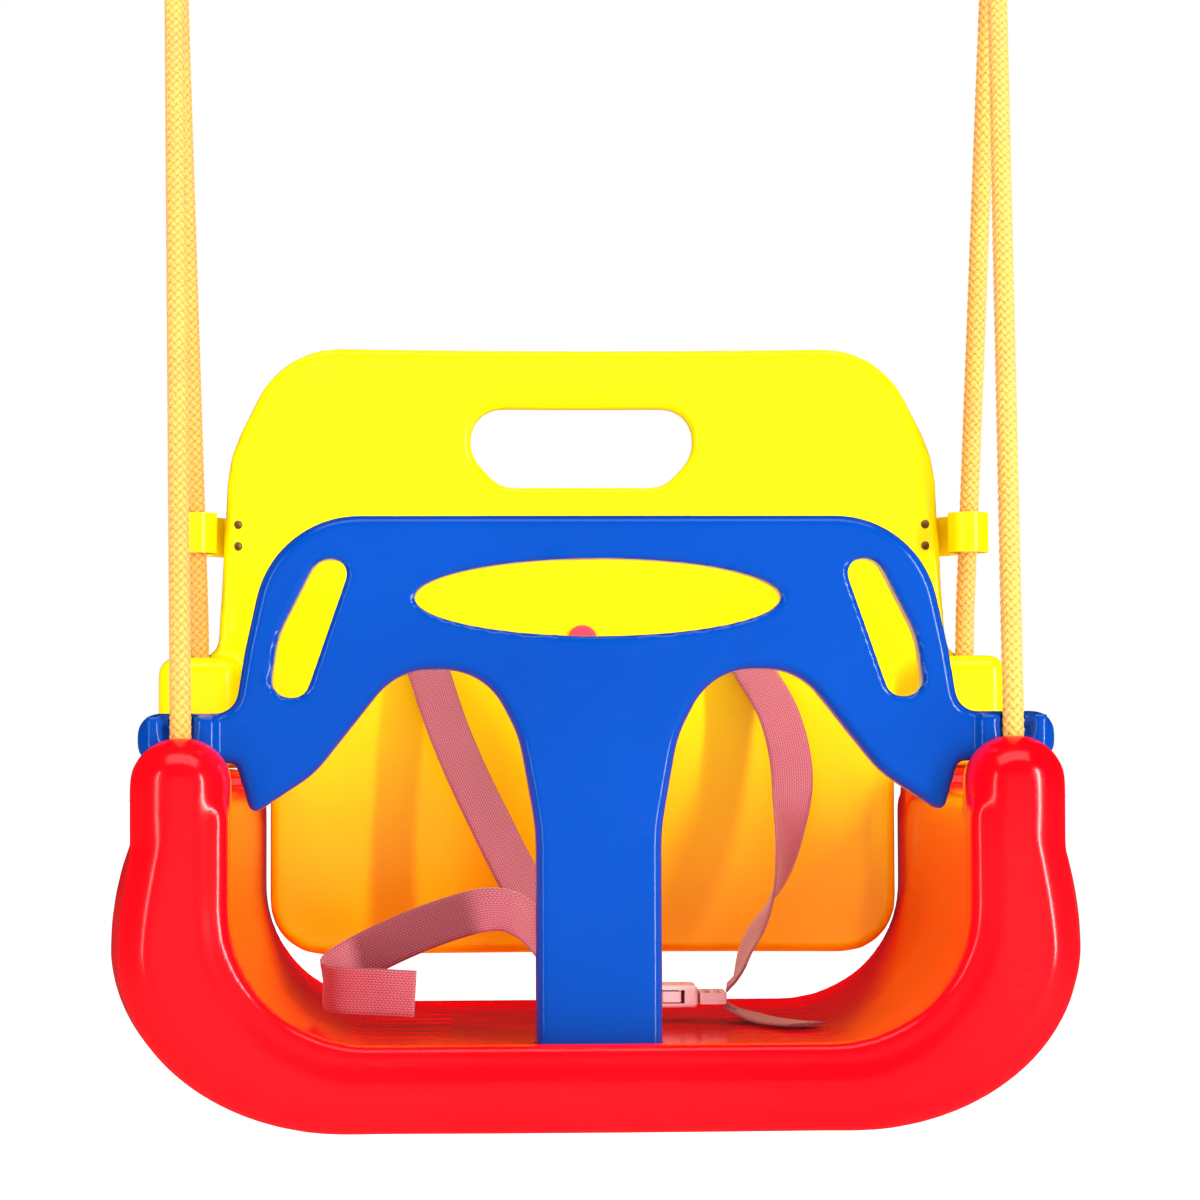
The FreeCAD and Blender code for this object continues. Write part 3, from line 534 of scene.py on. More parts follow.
def skin_group():
    """Shader group: orange-peel height, colour mottle and roughness with faint scratches."""
    group = bpy.data.node_groups.new("moulded_skin", "ShaderNodeTree")
    face = group.interface
    for label, low in (("Peel Scale", 900.0), ("Scratch Amount", 0.3), ("Base Roughness", 0.18)):
        face.new_socket(label, in_out="INPUT", socket_type="NodeSocketFloat").default_value = low
    for label in ("Mottle", "Roughness", "Height"):
        face.new_socket(label, in_out="OUTPUT", socket_type="NodeSocketFloat")
    n, links = group.nodes, group.links
    given, result = n.new("NodeGroupInput"), n.new("NodeGroupOutput")
    place = n.new("ShaderNodeTexCoord")
    peel = add(n, "ShaderNodeTexNoise", Detail=2.0)
    links.new(place.outputs["Object"], peel.inputs["Vector"])
    links.new(given.outputs["Peel Scale"], peel.inputs["Scale"])
    links.new(peel.outputs["Fac"], result.inputs["Height"])
    mottle = add(n, "ShaderNodeTexNoise", Scale=9.0, Detail=3.0)
    links.new(place.outputs["Object"], mottle.inputs["Vector"])
    links.new(mottle.outputs["Fac"], result.inputs["Mottle"])
    turned = add(n, "ShaderNodeMapping")
    turned.inputs["Rotation"].default_value = (0.5, 0.7, 0.3)
    turned.inputs["Scale"].default_value = (60.0, 1400.0, 400.0)
    links.new(place.outputs["Object"], turned.inputs["Vector"])
    scratch = add(n, "ShaderNodeTexNoise", Scale=1.0, Detail=4.0)
    links.new(turned.outputs["Vector"], scratch.inputs["Vector"])
    thin = add(n, "ShaderNodeMapRange", From_Min=0.62, From_Max=0.70)
    links.new(scratch.outputs["Fac"], thin.inputs["Value"])
    gain = add(n, "ShaderNodeMath", operation="MULTIPLY")
    links.new(thin.outputs["Result"], gain.inputs[0])
    links.new(given.outputs["Scratch Amount"], gain.inputs[1])
    total = add(n, "ShaderNodeMath", operation="ADD")
    links.new(gain.outputs["Value"], total.inputs[0])
    links.new(given.outputs["Base Roughness"], total.inputs[1])
    links.new(total.outputs["Value"], result.inputs["Roughness"])
    return group


moulded_skin = skin_group()


def moulded_material(name, deep, bright, roughness=0.16, peel=700.0, foot=None):
    """Glossy coloured polyethylene between two close tints, with a painted orange glow of light bounced from
    the red seat towards its foot if a foot tint is given.
    """
    mat, n, links, shader = material(name)
    skin = n.new("ShaderNodeGroup")
    skin.node_tree = moulded_skin
    skin.inputs["Peel Scale"].default_value = peel
    skin.inputs["Scratch Amount"].default_value = 0.06
    skin.inputs["Base Roughness"].default_value = roughness
    tint = ramp(n, [(0.3, deep), (0.7, bright)])
    links.new(skin.outputs["Mottle"], tint.inputs["Fac"])
    colour = tint.outputs["Color"]
    # Painted light: towards the bottom the colour blends to the foot tint, a painted glow standing in for
    # red light bounced from the seat.
    if foot:
        place = add(n, "ShaderNodeTexCoord")
        split = add(n, "ShaderNodeSeparateXYZ")
        links.new(place.outputs["Object"], split.inputs["Vector"])
        low = add(n, "ShaderNodeMapRange", From_Min=-0.38, From_Max=-0.56, interpolation_type="SMOOTHSTEP")
        links.new(split.outputs["Z"], low.inputs["Value"])
        seat_bounce_glow = add(n, "ShaderNodeMix", data_type="RGBA")
        seat_bounce_glow.inputs[7].default_value = (*foot, 1)
        links.new(low.outputs["Result"], seat_bounce_glow.inputs[0])
        links.new(colour, seat_bounce_glow.inputs[6])
        colour = seat_bounce_glow.outputs[2]
    links.new(colour, shader.inputs["Base Color"])
    links.new(skin.outputs["Roughness"], shader.inputs["Roughness"])
    bump = add(n, "ShaderNodeBump", Strength=0.04, Distance=0.0002)
    links.new(skin.outputs["Height"], bump.inputs["Height"])
    links.new(bump.outputs["Normal"], shader.inputs["Normal"])
    shader.inputs["IOR"].default_value = 1.45
    shader.inputs["Specular IOR Level"].default_value = 0.22
    return mat


red = moulded_material("moulded_red", (0.86, 0.0, 0.004), (0.93, 0.002, 0.006))
# The yellow's orange foot tint is painted bounce light from the red seat on the backrest's lower part.
yellow = moulded_material("moulded_yellow", (0.98, 0.70, 0.0), (1.0, 0.76, 0.0), roughness=0.2,
                          foot=(1.0, 0.42, 0.0))
blue = moulded_material("moulded_blue", (0.0, 0.040, 0.27), (0.0, 0.047, 0.31))


# ------------------------------------------------------------------ seat
# The red seat is one moulding: a thick U of side walls and floor whose four posts grow out
# of its corners, with full flanks, drain slots, and open hollows underneath.

SEAT_FRONT, SEAT_REAR = -150.0, 98.0
WALL_TOP = 138.0
FLOOR_TOP = 35.0
INNER = 153.0
FRONT_POST, REAR_POST = (173.8, -127.0), (179.7, 73.0)
FRONT_ROPE, REAR_ROPE = (174.0, -127.0), (184.0, 73.0)
LEDGE, REAR_TOP = 152.5, 150.0
BORE, SLEEVE = 5.0, 8.0
DRAIN_ROWS = (-80.0, -58.0, -36.0, -8.0, 14.0, 36.0)
DRAIN_COLUMNS = (-85.0, 0.0, 85.0)


def wall_section(outer, inner, swell):
    """Loop round the U's wall at one place: rounded ends and an outside face that swells between them."""
    (ox, oh), (ix, ih) = outer, inner
    thick = math.hypot(ox - ix, oh - ih)
    across, rise = (ox - ix) / thick, (oh - ih) / thick
    r = min(18.0, thick * 0.47)
    ring = []
    for side_in, y, start in ((0, SEAT_REAR - r, 0), (1, SEAT_REAR - r, 90), (1, SEAT_FRONT + r, 180),
                              (0, SEAT_FRONT + r, 270)):
        reach = r if side_in else thick - r
        for k in range(7):
            turn = math.radians(start + 15 * k)
            ring.append((reach + r * math.cos(turn), y + r * math.sin(turn)))
    for t in np.linspace(-1, 1, 13)[1:-1]:
        middle, half = (SEAT_FRONT + SEAT_REAR) / 2, (SEAT_REAR - SEAT_FRONT) / 2 - r
        ring.append((thick + swell * (1 - t * t) ** 0.7, middle + half * t))
    return [spot(ix + across * d, y, ih + rise * d) for d, y in ring]


def seat_body():
    """The U of side walls and floor, from the top of one wall round to the other's."""
    stations = [((181.0, WALL_TOP + 2.0), (163.0, WALL_TOP + 2.0), 0.0),
                ((187.0, WALL_TOP), (157.0, WALL_TOP), 1.0), ((190.5, 133.0), (154.0, 133.0), 2.5),
                ((193.0, 123.0), (INNER, 124.0), 5.0), ((195.5, 111.0), (INNER, 113.0), 8.5),
                ((197.5, 99.0), (INNER, 104.0), 10.0), ((199.0, 87.0), (INNER, 97.0), 10.5)]
    for k in range(25):
        t = math.radians(90 * k / 24)
        swell = 10.5 * max(0.0, 1 - k / 18)
        stations.append(((105.0 + 94.7 * math.cos(t), 75 - 75 * math.sin(t)),
                         (95 + 58 * math.cos(t), 93 - 58 * math.sin(t)), swell))
    stations += [((x * 1.2, 0.0), (x, FLOOR_TOP), 0.0) for x in (75.0, 50.0, 25.0, 0.0)]
    left = [((-a[0], a[1]), (-b[0], b[1]), swell) for a, b, swell in reversed(stations[:-1])]
    return loft([wall_section(*station) for station in stations + left])


def pipe(points, r):
    """Round bar through points, as a bmesh."""
    line, sides = np.array(points), 12
    tangent, normal, binormal = frames_along(line)
    rings = []
    for i in range(len(line)):
        rings.append([tuple(line[i] + r / 1000 * (normal[i] * math.cos(2 * math.pi * k / sides)
                                                  + binormal[i] * math.sin(2 * math.pi * k / sides)))
                      for k in range(sides)])
    return loft(rings)


def inner_edge(inset, y):
    """Points down the inside of one wall, across the floor and up the other."""
    right_half = [(159.2, h) for h in np.linspace(134.0, 95.0, 8)]
    for t in np.linspace(0, math.pi / 2, 20):
        reach = 58 + 6.2 + (inset - 6.2) * math.sin(t) ** 2
        right_half.append((95 + reach * math.cos(t), 93 - reach * math.sin(t)))
    right_half += [(x, FLOOR_TOP - inset) for x in np.linspace(85.0, 0.0, 10)]
    return [spot(x, y, h) for x, h in right_half + [(-x, h) for x, h in reversed(right_half[:-1])]]


parts = [seat_body(), pipe(inner_edge(3.5, -140.0), 6.5), pipe(inner_edge(3.5, 88.0), 6.5)]
for side in (-1, 1):
    parts.append(pillar(side * FRONT_POST[0], FRONT_POST[1], 60.0, 164.0, 20.8, 22.8, 19.0, 19.0))
    parts.append(pillar(side * REAR_POST[0], REAR_POST[1], 50.0, REAR_TOP, 25.7, 22.5, 14.0, 5.0))
seat = mould(join("seat_moulding", parts), 2.3, 8)
tools = []
for side in (-1, 1):
    for x, y in (FRONT_ROPE, REAR_ROPE):
        tools.append(barrel(side * x, y, 60.0, 180.0, BORE))
    x0, x1 = sorted((side * 146.0, side * 205.0))
    tools.append(rounded_block(x0, x1, -126.1, -95.0, LEDGE, 180.0, 0))
tools.append(rounded_block(-27.0, 27.0, -122.4, -102.0, 30.8, 60.0, 0))
seat = cut(seat, tools)
CAVITY_CORNERS = both([(112.0, -20.0, 0), (112.0, 5.0, 0), (188.0, 5.0, 70.0), (186.0, 128.0, 12.0),
                       (158.0, 128.0, 12.0), (158.0, 30.0, 62.0)])
cavity = as_object("cavity", slab(outline(CAVITY_CORNERS), SEAT_FRONT + 14.0, SEAT_REAR - 14.0))
kept = [rounded_block(-30.0, 30.0, -125.0, -99.0, 27.0, 60.0, 0)]
kept += [rounded_block(-111.0, 111.0, y - 1.2, y + 1.2, 8.0, 40.0, 0) for y in (-94.0, -22.0, 50.0)]
kept += [rounded_block(x - 1.2, x + 1.2, -142.0, 90.0, 8.0, 40.0, 0) for x in (-57.0, 57.0)]
kept += [barrel(side * x, y, 96.0, 120.0, SLEEVE) for side in (-1, 1) for x, y in (FRONT_ROPE, REAR_ROPE)]
for keep in kept:
    cavity = cut(cavity, [keep])
seat = cut(seat, [loose(cavity)])
for y in DRAIN_ROWS:
    slots = [rounded_block(x - 22.0, x + 22.0, y - 1.5, y + 1.5, -20.0, 50.0, 0) for x in DRAIN_COLUMNS]
    seat = cut(seat, slots)
seat.data.materials.append(red)
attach(seat, "swing")
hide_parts("seat_shell")

# -------------------------------------------------------------- backrest
# The yellow backrest is a dished panel with a rolled rim and a hand hole. Its ears stand on
# the rear posts and the rear ropes run down through them.

BACK_FRONT = 75.0
BACK_DISH, DISH_HALF_W = 16.0, 0.171
BACK_DEPTH = 13.0
EAR_TOP, EAR_HALF_W, EAR_HALF_D = 203.0, 19.0, 18.0
SLOT_X, SLOT_H = 78.0, 203.0
HOLE_H = 306.0
BACK_CORNERS = both([(151.0, 60.0, 26.0), (151.0, REAR_TOP, 0.8), (203.0, REAR_TOP, 3.0),
                     (203.0, 203.0, 16.0), (176.0, 203.0, 9.0), (171.0, 300.0, 60.0), (145.0, 354.0, 44.0)])
TRAY_CORNERS = both([(137.0, 68.0, 24.0), (144.0, 100.0, 40.0), (151.0, 203.0, 30.0), (164.0, 300.0, 50.0),
                     (139.0, 347.0, 38.0)])


def hand_hole(grow):
    """Rounded hand hole, its lower edge slightly bowed."""
    half_w, half_h = 54.5 + grow, 19.5 + grow
    return outline(both([(half_w - 14.0, HOLE_H - half_h, 14.0), (half_w, HOLE_H - 4.0, 16.0),
                         (half_w, HOLE_H + half_h, 15.0)]))


def dish(obj):
    """Bend the panel back towards its middle."""
    for v in obj.data.vertices:
        v.co.y += BACK_DISH / 1000 * (1 - (v.co.x / DISH_HALF_W) ** 2)
    return obj


back = as_object("backrest_moulding", slab(outline(BACK_CORNERS), BACK_FRONT, BACK_FRONT + BACK_DEPTH))
tray = cut(as_object("tray", slab(outline(TRAY_CORNERS), BACK_FRONT + 4.5, BACK_FRONT + 30.0)),
           [slab(hand_hole(5.0), BACK_FRONT, BACK_FRONT + 40.0)])
back = cut(back, [loose(tray), slab(hand_hole(0.0), BACK_FRONT - 30, BACK_FRONT + 50)])
rolls = as_object("rolls", bead(shrink(outline(BACK_CORNERS), 4.0), BACK_FRONT + 1.0, 2.2))
hole_roll = bead(shrink(hand_hole(0.0), -3.0), BACK_FRONT + 0.9, 2.0)
back = dish(mould(join("backrest_moulding", [loose(back), loose(rolls), hole_roll]), 1.9, 3))
ears = []
for side in (-1, 1):
    x, y = side * REAR_ROPE[0], REAR_ROPE[1]
    ears.append(rounded_block(x - EAR_HALF_W, x + EAR_HALF_W, y - EAR_HALF_D, y + EAR_HALF_D,
                              REAR_TOP, EAR_TOP, 8.0))
back = mould(join("backrest_moulding", [loose(back)] + ears), 1.9, 3)
tools = []
for side in (-1, 1):
    tools.append(barrel(side * REAR_ROPE[0], REAR_ROPE[1], 140.0, 215.0, BORE))
    tools.append(rounded_block(side * SLOT_X - 13.5, side * SLOT_X + 13.5, 40.0, 130.0,
                               SLOT_H - 3.5, SLOT_H + 3.5, 0))
back = cut(back, tools)
back.data.materials.append(yellow)
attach(back, "swing")
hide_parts("backrest")

# ----------------------------------------------------------------- guard
# The blue T-bar guard: a bar with three windows and a raised bead round its edge, a stem
# that drops into the seat's well, and two tabs that ride behind the front ropes.

GUARD_FRONT = -122.0
GUARD_CORNERS = both([(26.5, 31.0, 4.0), (26.5, 125.0, 90.0), (33.5, 164.0, 50.0), (48.0, 192.0, 28.0),
                      (84.6, 192.0, 28.0), (119.0, 148.5, 40.0), (145.5, 131.0, 3.0), (152.0, 153.0, 1.5),
                      (193.0, 153.0, 8.0), (193.0, 174.0, 9.0), (152.5, 174.0, 9.0), (148.3, 200.0, 60.0),
                      (136.0, 257.0, 44.0)])
SIDE_WINDOW = [(123.0, 180.5, 6.0), (138.0, 180.5, 7.0), (134.5, 206.0, 40.0), (118.0, 238.5, 8.0),
               (103.0, 238.5, 6.0)]
GROOVE = 0.006


def lens(grow):
    """Elliptical middle window, as (x, h) points."""
    return [((77.3 + grow) * math.cos(t), 222.3 + (16.3 + grow) * math.sin(t))
            for t in np.linspace(0, 2 * math.pi, 96, endpoint=False)]


rim = outline(GUARD_CORNERS)
window = outline(SIDE_WINDOW)
mirror_window = [(-x, h) for x, h in reversed(window)]
parts = [packed("front_guard"), bead(shrink(rim, 3.6), GUARD_FRONT + 1.9, 2.2)]
parts += [bead(shrink(hole, -2.4), GUARD_FRONT + 1.2, 1.7) for hole in (lens(0.0), window, mirror_window)]
guard = mould(join("guard_moulding", parts), 1.7, 3)
tools = []
for side in (-1, 1):
    foot, head = Vector(spot(side * 173.2, -140.9, 120.0)), Vector(spot(side * 175.9, -109.0, 220.0))
    way = (head - foot).normalized()
    across = way.orthogonal().normalized()
    other = way.cross(across)
    round_way = [across * math.cos(math.pi * k / 14) + other * math.sin(math.pi * k / 14) for k in range(28)]
    tools.append(loft([[tuple(p + GROOVE * out) for out in round_way] for p in (foot, head)]))
    tools.append(barrel(side * FRONT_ROPE[0], FRONT_ROPE[1], 130.0, 168.0, 1000 * GROOVE))
guard = cut(guard, tools)
guard.data.materials.append(blue)
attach(guard, "guard")
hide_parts("front_guard")


# --------------------------------------------------------------- webbing
# Harness of 20 mm woven red webbing: two straps from slots in the backrest to the buckle,
# a long adjusting tail that curls to the left, a short one on the seat, and a run behind.

WEB_W, WEB_T = 20.0, 1.5


WARP_PITCH, WEFT_PITCH = 0.0011, 0.0016


def smooth_through(rows, step):
    """Smooth run of values through rows of numbers, each row a station."""
    rows = np.array(rows, dtype=float)
    ends = np.vstack([2 * rows[0] - rows[1], rows, 2 * rows[-1] - rows[-2]])
    out = []
    for i in range(1, len(ends) - 2):
        p0, p1, p2, p3 = ends[i - 1:i + 3]
        count = max(3, int(np.linalg.norm(p2[:3] - p1[:3]) / step))
        for t in np.linspace(0, 1, count, endpoint=False):
            out.append(0.5 * (2 * p1 + (p2 - p0) * t + (2 * p0 - 5 * p1 + 4 * p2 - p3) * t ** 2
                              + (3 * p1 - p0 - 3 * p2 + p3) * t ** 3))
    out.append(rows[-1])
    return np.array(out)


def ribbon(name, stations, webbing):
    """Flat woven strap through stations (x, y, h, width direction), with ribbed faces and round edges."""
    rows = smooth_through([(*place, *across) for place, across in stations], 1.6)
    centre, across = rows[:, :3], rows[:, 3:]
    along = np.gradient(centre, axis=0)
    along /= np.linalg.norm(along, axis=1)[:, None]
    across = across - along * (across * along).sum(axis=1)[:, None]
    across /= np.linalg.norm(across, axis=1)[:, None]
    thick = np.cross(along, across)
    run = np.r_[0, np.cumsum(np.linalg.norm(np.diff(centre, axis=0), axis=1))]
    shares = np.linspace(-1, 1, 11)
    verts, uv = [], []
    for i in range(len(centre)):
        cup = 0.35 * math.sin(run[i] * 0.11)
        for face_side in (1, -1):
            for k, share in enumerate(shares if face_side > 0 else shares[::-1]):
                rib = 0.1 * math.cos(share * 14.0)
                lift = face_side * (WEB_T / 2 * (1 - 0.55 * abs(share) ** 8) + rib) + cup * share ** 2
                p = centre[i] + across[i] * share * WEB_W / 2 + thick[i] * lift
                verts.append(spot(*p))
                uv.append((run[i] / 1000, share * WEB_W / 2000 + (0.0 if face_side > 0 else 0.05)))
    obj = piece_from(name, verts, tube_faces(0, len(centre), 2 * len(shares)))
    layer = obj.data.uv_layers.new(name="weave")
    for loop in obj.data.loops:
        layer.data[loop.index].uv = uv[loop.vertex_index]
    bm = bmesh.new()
    bm.from_mesh(obj.data)
    bmesh.ops.recalc_face_normals(bm, faces=bm.faces)
    bm.to_mesh(obj.data)
    bm.free()
    obj.data.materials.append(webbing)
    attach(obj, "swing")
    return obj, run[-1] / 1000


def webbing_material():
    """Woven polypropylene webbing: herringbone of warp yarns with a soft sheen, painted shade in the troughs
    between yarns and a pale pink painted highlight on their crowns.
    """
    mat, n, links, shader = material("woven_red")
    uv = add(n, "ShaderNodeUVMap", uv_map="weave")
    split = add(n, "ShaderNodeSeparateXYZ")
    links.new(uv.outputs["UV"], split.inputs["Vector"])
    warp = add(n, "ShaderNodeMath", operation="MULTIPLY")
    warp.inputs[1].default_value = 2 * math.pi / WARP_PITCH
    links.new(split.outputs["Y"], warp.inputs[0])
    slant = add(n, "ShaderNodeMath", operation="PINGPONG")
    slant.inputs[1].default_value = 2 * WARP_PITCH
    links.new(split.outputs["Y"], slant.inputs[0])
    shifted = add(n, "ShaderNodeMath", operation="ADD")
    links.new(split.outputs["X"], shifted.inputs[0])
    links.new(slant.outputs["Value"], shifted.inputs[1])
    weft = add(n, "ShaderNodeMath", operation="MULTIPLY")
    weft.inputs[1].default_value = 2 * math.pi / WEFT_PITCH
    links.new(shifted.outputs["Value"], weft.inputs[0])
    waves = []
    for source in (warp, weft):
        wave = add(n, "ShaderNodeMath", operation="SINE")
        links.new(source.outputs["Value"], wave.inputs[0])
        waves.append(wave)
    crown = add(n, "ShaderNodeMath", operation="ADD")
    links.new(waves[0].outputs["Value"], crown.inputs[0])
    links.new(waves[1].outputs["Value"], crown.inputs[1])
    level = add(n, "ShaderNodeMapRange", From_Min=-2.0, From_Max=2.0)
    links.new(crown.outputs["Value"], level.inputs["Value"])
    # Painted light: the dark stop is painted shade between the yarns, the pale pink stop a painted highlight
    # on their crowns.
    tint = ramp(n, [(0.0, (0.22, 0.02, 0.035)), (0.5, (0.43, 0.06, 0.085)), (1.0, (0.60, 0.18, 0.22))])
    links.new(level.outputs["Result"], tint.inputs["Fac"])
    links.new(tint.outputs["Color"], shader.inputs["Base Color"])
    bump = add(n, "ShaderNodeBump", Strength=0.5, Distance=0.0003)
    links.new(level.outputs["Result"], bump.inputs["Height"])
    links.new(bump.outputs["Normal"], shader.inputs["Normal"])
    shader.inputs["Roughness"].default_value = 0.5
    shader.inputs["Sheen Weight"].default_value = 0.4
    return mat


woven = webbing_material()
STRAPS = {
    "strap_left": [((-78, 106, 203), (1, 0, 0)), ((-78, 84, 203), (1, 0, 0)), ((-75, 75, 197), (1, 0, 0)),
                   ((-64, 60, 165), (1, 0.2, 0.2)), ((-48, 40, 130), (1, 0.2, 0.35)),
                   ((-31, 20, 97), (1, 0.3, 0.45)),
                   ((-14, 3, 71), (0.7, 0.7, 0.4)), ((-1, -8, 57), (0.0, 1, 0.0)),
                   ((10.2, -8, 49.2), (0, 1, 0))],
    "strap_right": [((78, 106, 203), (1, 0, 0)), ((78, 84, 203), (1, 0, 0)), ((82, 75, 197), (1, 0, 0)),
                    ((93, 62, 175), (1, 0.1, 0.1)), ((98, 50, 148), (1, 0.1, 0.1)),
                    ((95, 38, 120), (0.7, 0.7, 0)),
                    ((88, 24, 95), (0.3, 1, 0.1)), ((76, 10, 74), (-0.1, 1, 0.2)), ((68, -8, 57), (0, 1, 0)),
                    ((62.4, -8, 50), (0, 1, 0))],
    "strap_tail_left": [((10.2, -8, 44.4), (0, 1, 0)), ((2, -8, 43.5), (0, 1, 0)),
                        ((-8, -15, 50), (0.3, 1, 0.2)),
                        ((-18, -20, 66), (0.4, 0.8, 0.4)), ((-30, -23, 82), (0.2, 0.5, 0.8)),
                        ((-44, -24, 87), (0, 0.35, 1)),
                        ((-66, -28, 82), (0, 0.35, 1)), ((-90, -36, 73), (-0.1, 0.35, 1)),
                        ((-110, -46, 63), (-0.1, 0.2, 1)),
                        ((-118, -56, 56), (0, 0, 1)), ((-111, -66, 54.5), (0, 0, 1)),
                        ((-96, -70, 54), (0, 0, 1)),
                        ((-78, -72, 53), (0, 0, 1))],
    "strap_tail_right": [((62.4, -10, 42.3), (0, 1, 0)), ((67, -11, 40), (0.1, 1, 0)),
                         ((77, -28, 37.4), (0.5, 1, 0)),
                         ((87, -44, 37.2), (0.7, 1, 0)), ((94, -56, 37.4), (0.9, 1, 0))],
    "strap_back_run": [((-66, 107.0, 203), (0, 0, 1)), ((0, 109.5, 203), (0, 0, 1)),
                       ((66, 107.0, 203), (0, 0, 1))],
}
for node, stations in STRAPS.items():
    strap, length = ribbon(f"{node}_woven", stations, woven)
    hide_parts(node)

# -------------------------------------------------- small parts as packed
# Buckle, slider, keepers and steel fittings keep the shapes they were designed with and
# take their finishes here.


def steel_material(name, tint, roughness):
    """Zinc-plated steel with a mottled bloom in its tint and roughness."""
    mat, n, links, shader = material(name)
    place = add(n, "ShaderNodeTexCoord")
    bloom = add(n, "ShaderNodeTexNoise", Scale=180.0, Detail=4.0)
    links.new(place.outputs["Object"], bloom.inputs["Vector"])
    shade = ramp(n, [(0.3, tuple(c * 0.78 for c in tint)), (0.7, tint)])
    links.new(bloom.outputs["Fac"], shade.inputs["Fac"])
    links.new(shade.outputs["Color"], shader.inputs["Base Color"])
    rough = add(n, "ShaderNodeMapRange", To_Min=roughness * 0.7, To_Max=roughness * 1.4)
    links.new(bloom.outputs["Fac"], rough.inputs["Value"])
    links.new(rough.outputs["Result"], shader.inputs["Roughness"])
    shader.inputs["Metallic"].default_value = 1.0
    return mat


zinc = steel_material("zinc_plate", (0.62, 0.63, 0.66), 0.3)
brown = steel_material("dull_rivet", (0.30, 0.18, 0.07), 0.5)
pale = moulded_material("pale_acetal", (0.80, 0.42, 0.45), (0.92, 0.62, 0.62), roughness=0.25, peel=1500.0)
rose = moulded_material("rose_button", (0.62, 0.05, 0.09), (0.75, 0.09, 0.13), roughness=0.3, peel=1500.0)
FINISH = {"hang_ring": zinc, "snap_hook": zinc, "hook_gate": zinc, "gate_rivets": zinc, "knot_washers": zinc,
          "clip_rivets": brown, "rope_clip": yellow, "buckle": pale, "strap_slider": pale,
          "anchor_button": rose}
for name, obj in nodes.items():
    for start, finish in FINISH.items():
        if name.startswith(start):
            for place in obj.material_slots:
                place.material = finish

# --------------------------------------------------------------- rivets
# Each keeper is held by two dull brown rivets through the backrest's rim: small domed heads
# in front, and a flat head on the keeper's root behind.

RIVET_X, RIVET_H = 166.5, (256.8, 267.2)
RIVET_FRONT, RIVET_REAR = 75.6, 95.5

heads = []
for side in (-1, 1):
    for h in RIVET_H:
        x = side * RIVET_X
        for y, r in ((RIVET_FRONT, 2.2), (RIVET_REAR, 2.6)):
            dome = bmesh.new()
            bmesh.ops.create_uvsphere(dome, u_segments=20, v_segments=10, radius=r / 1000)
            bmesh.ops.scale(dome, vec=(1, 0.55, 1), verts=dome.verts)
            bmesh.ops.translate(dome, vec=spot(x, y, h), verts=dome.verts)
            heads.append(dome)
        heads.append(pipe([spot(x, y, h) for y in (RIVET_FRONT, 85.0, RIVET_REAR)], 1.2))
rivets = join("keeper_rivets", heads)
rivets.data.shade_smooth()
rivets.data.materials.append(brown)
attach(rivets, "swing")
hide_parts("clip_rivets")

# ---------------------------------------------------------------- studio
# A pale floor below the swing under broad soft lights, with one tall strip at the right
# that draws the long highlight down each post.

FLOOR_Z = -0.95

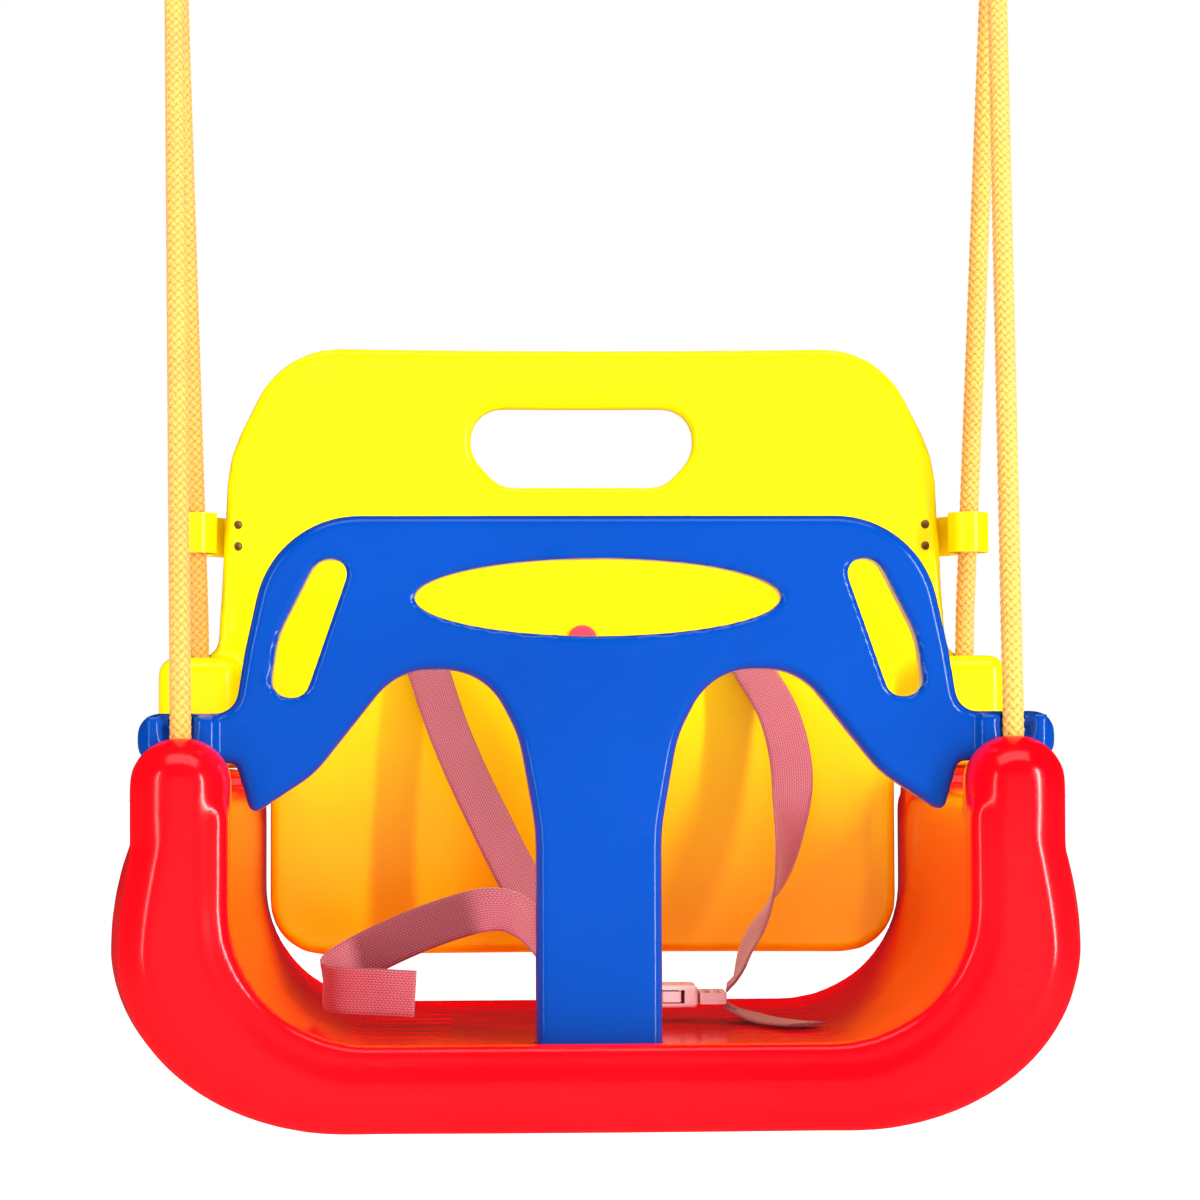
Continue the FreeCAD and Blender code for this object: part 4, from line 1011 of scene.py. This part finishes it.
floor = bpy.data.meshes.new("floor")
corners = [(x, y, FLOOR_Z) for x, y in ((-30, -30), (30, -30), (30, 30), (-30, 30))]
floor.from_pydata(corners, [], [(0, 1, 2, 3)])
floor = bpy.data.objects.new("floor", floor)
scene.collection.objects.link(floor)
paint, n, links, shader = material("pale_floor")
shader.inputs["Base Color"].default_value = (0.93, 0.93, 0.93, 1)
shader.inputs["Roughness"].default_value = 0.9
shader.inputs["Specular IOR Level"].default_value = 0.1
shader.inputs["Emission Color"].default_value = (1, 1, 1, 1)
shader.inputs["Emission Strength"].default_value = 0.82
under = add(n, "ShaderNodeBsdfDiffuse")
under.inputs["Color"].default_value = (0.10, 0.10, 0.10, 1)
ray = add(n, "ShaderNodeLightPath")
either = add(n, "ShaderNodeMixShader")
links.new(ray.outputs["Is Glossy Ray"], either.inputs["Fac"])
links.new(shader.outputs["BSDF"], either.inputs[1])
links.new(under.outputs["BSDF"], either.inputs[2])
links.new(either.outputs["Shader"], n["Material Output"].inputs["Surface"])
floor.data.materials.append(paint)


def soft_light(name, spot_at, aim, width, height, power):
    """Rectangular soft light aimed at a point."""
    data = bpy.data.lights.new(name, "AREA")
    data.shape = "RECTANGLE"
    data.size, data.size_y = width, height
    data.energy = power
    lamp = bpy.data.objects.new(name, data)
    scene.collection.objects.link(lamp)
    lamp.location = spot_at
    lamp.rotation_euler = (Vector(aim) - Vector(spot_at)).to_track_quat("-Z", "Y").to_euler()
    return lamp


middle = (0, 0, -0.4)
soft_light("left strip", (-1.25, -1.35, -0.15), middle, 0.10, 1.2, 9)
soft_light("right strip", (1.25, -1.35, -0.15), middle, 0.10, 1.2, 34)
soft_light("top", (0.0, -0.7, 1.2), middle, 1.8, 0.8, 19)
fill = soft_light("front fill", (0.1, -2.6, -0.3), middle, 2.2, 1.6, 22)
fill.visible_glossy = False

world = bpy.data.worlds.new("studio")
world.use_nodes = True
scene.world = world
n, links = world.node_tree.nodes, world.node_tree.links
sky = n["Background"]
sky.inputs["Color"].default_value = (1, 1, 1, 1)
sky.inputs["Strength"].default_value = 0.42
dim = add(n, "ShaderNodeBackground")
dim.inputs["Color"].default_value = (1, 1, 1, 1)
dim.inputs["Strength"].default_value = 0.02
white = add(n, "ShaderNodeBackground")
white.inputs["Color"].default_value = (1, 1, 1, 1)
path = add(n, "ShaderNodeLightPath")
room = add(n, "ShaderNodeMixShader")
links.new(path.outputs["Is Glossy Ray"], room.inputs["Fac"])
links.new(sky.outputs["Background"], room.inputs[1])
links.new(dim.outputs["Background"], room.inputs[2])
mix = add(n, "ShaderNodeMixShader")
links.new(path.outputs["Is Camera Ray"], mix.inputs["Fac"])
links.new(room.outputs["Shader"], mix.inputs[1])
links.new(white.outputs["Background"], mix.inputs[2])
links.new(mix.outputs["Shader"], n["World Output"].inputs["Surface"])
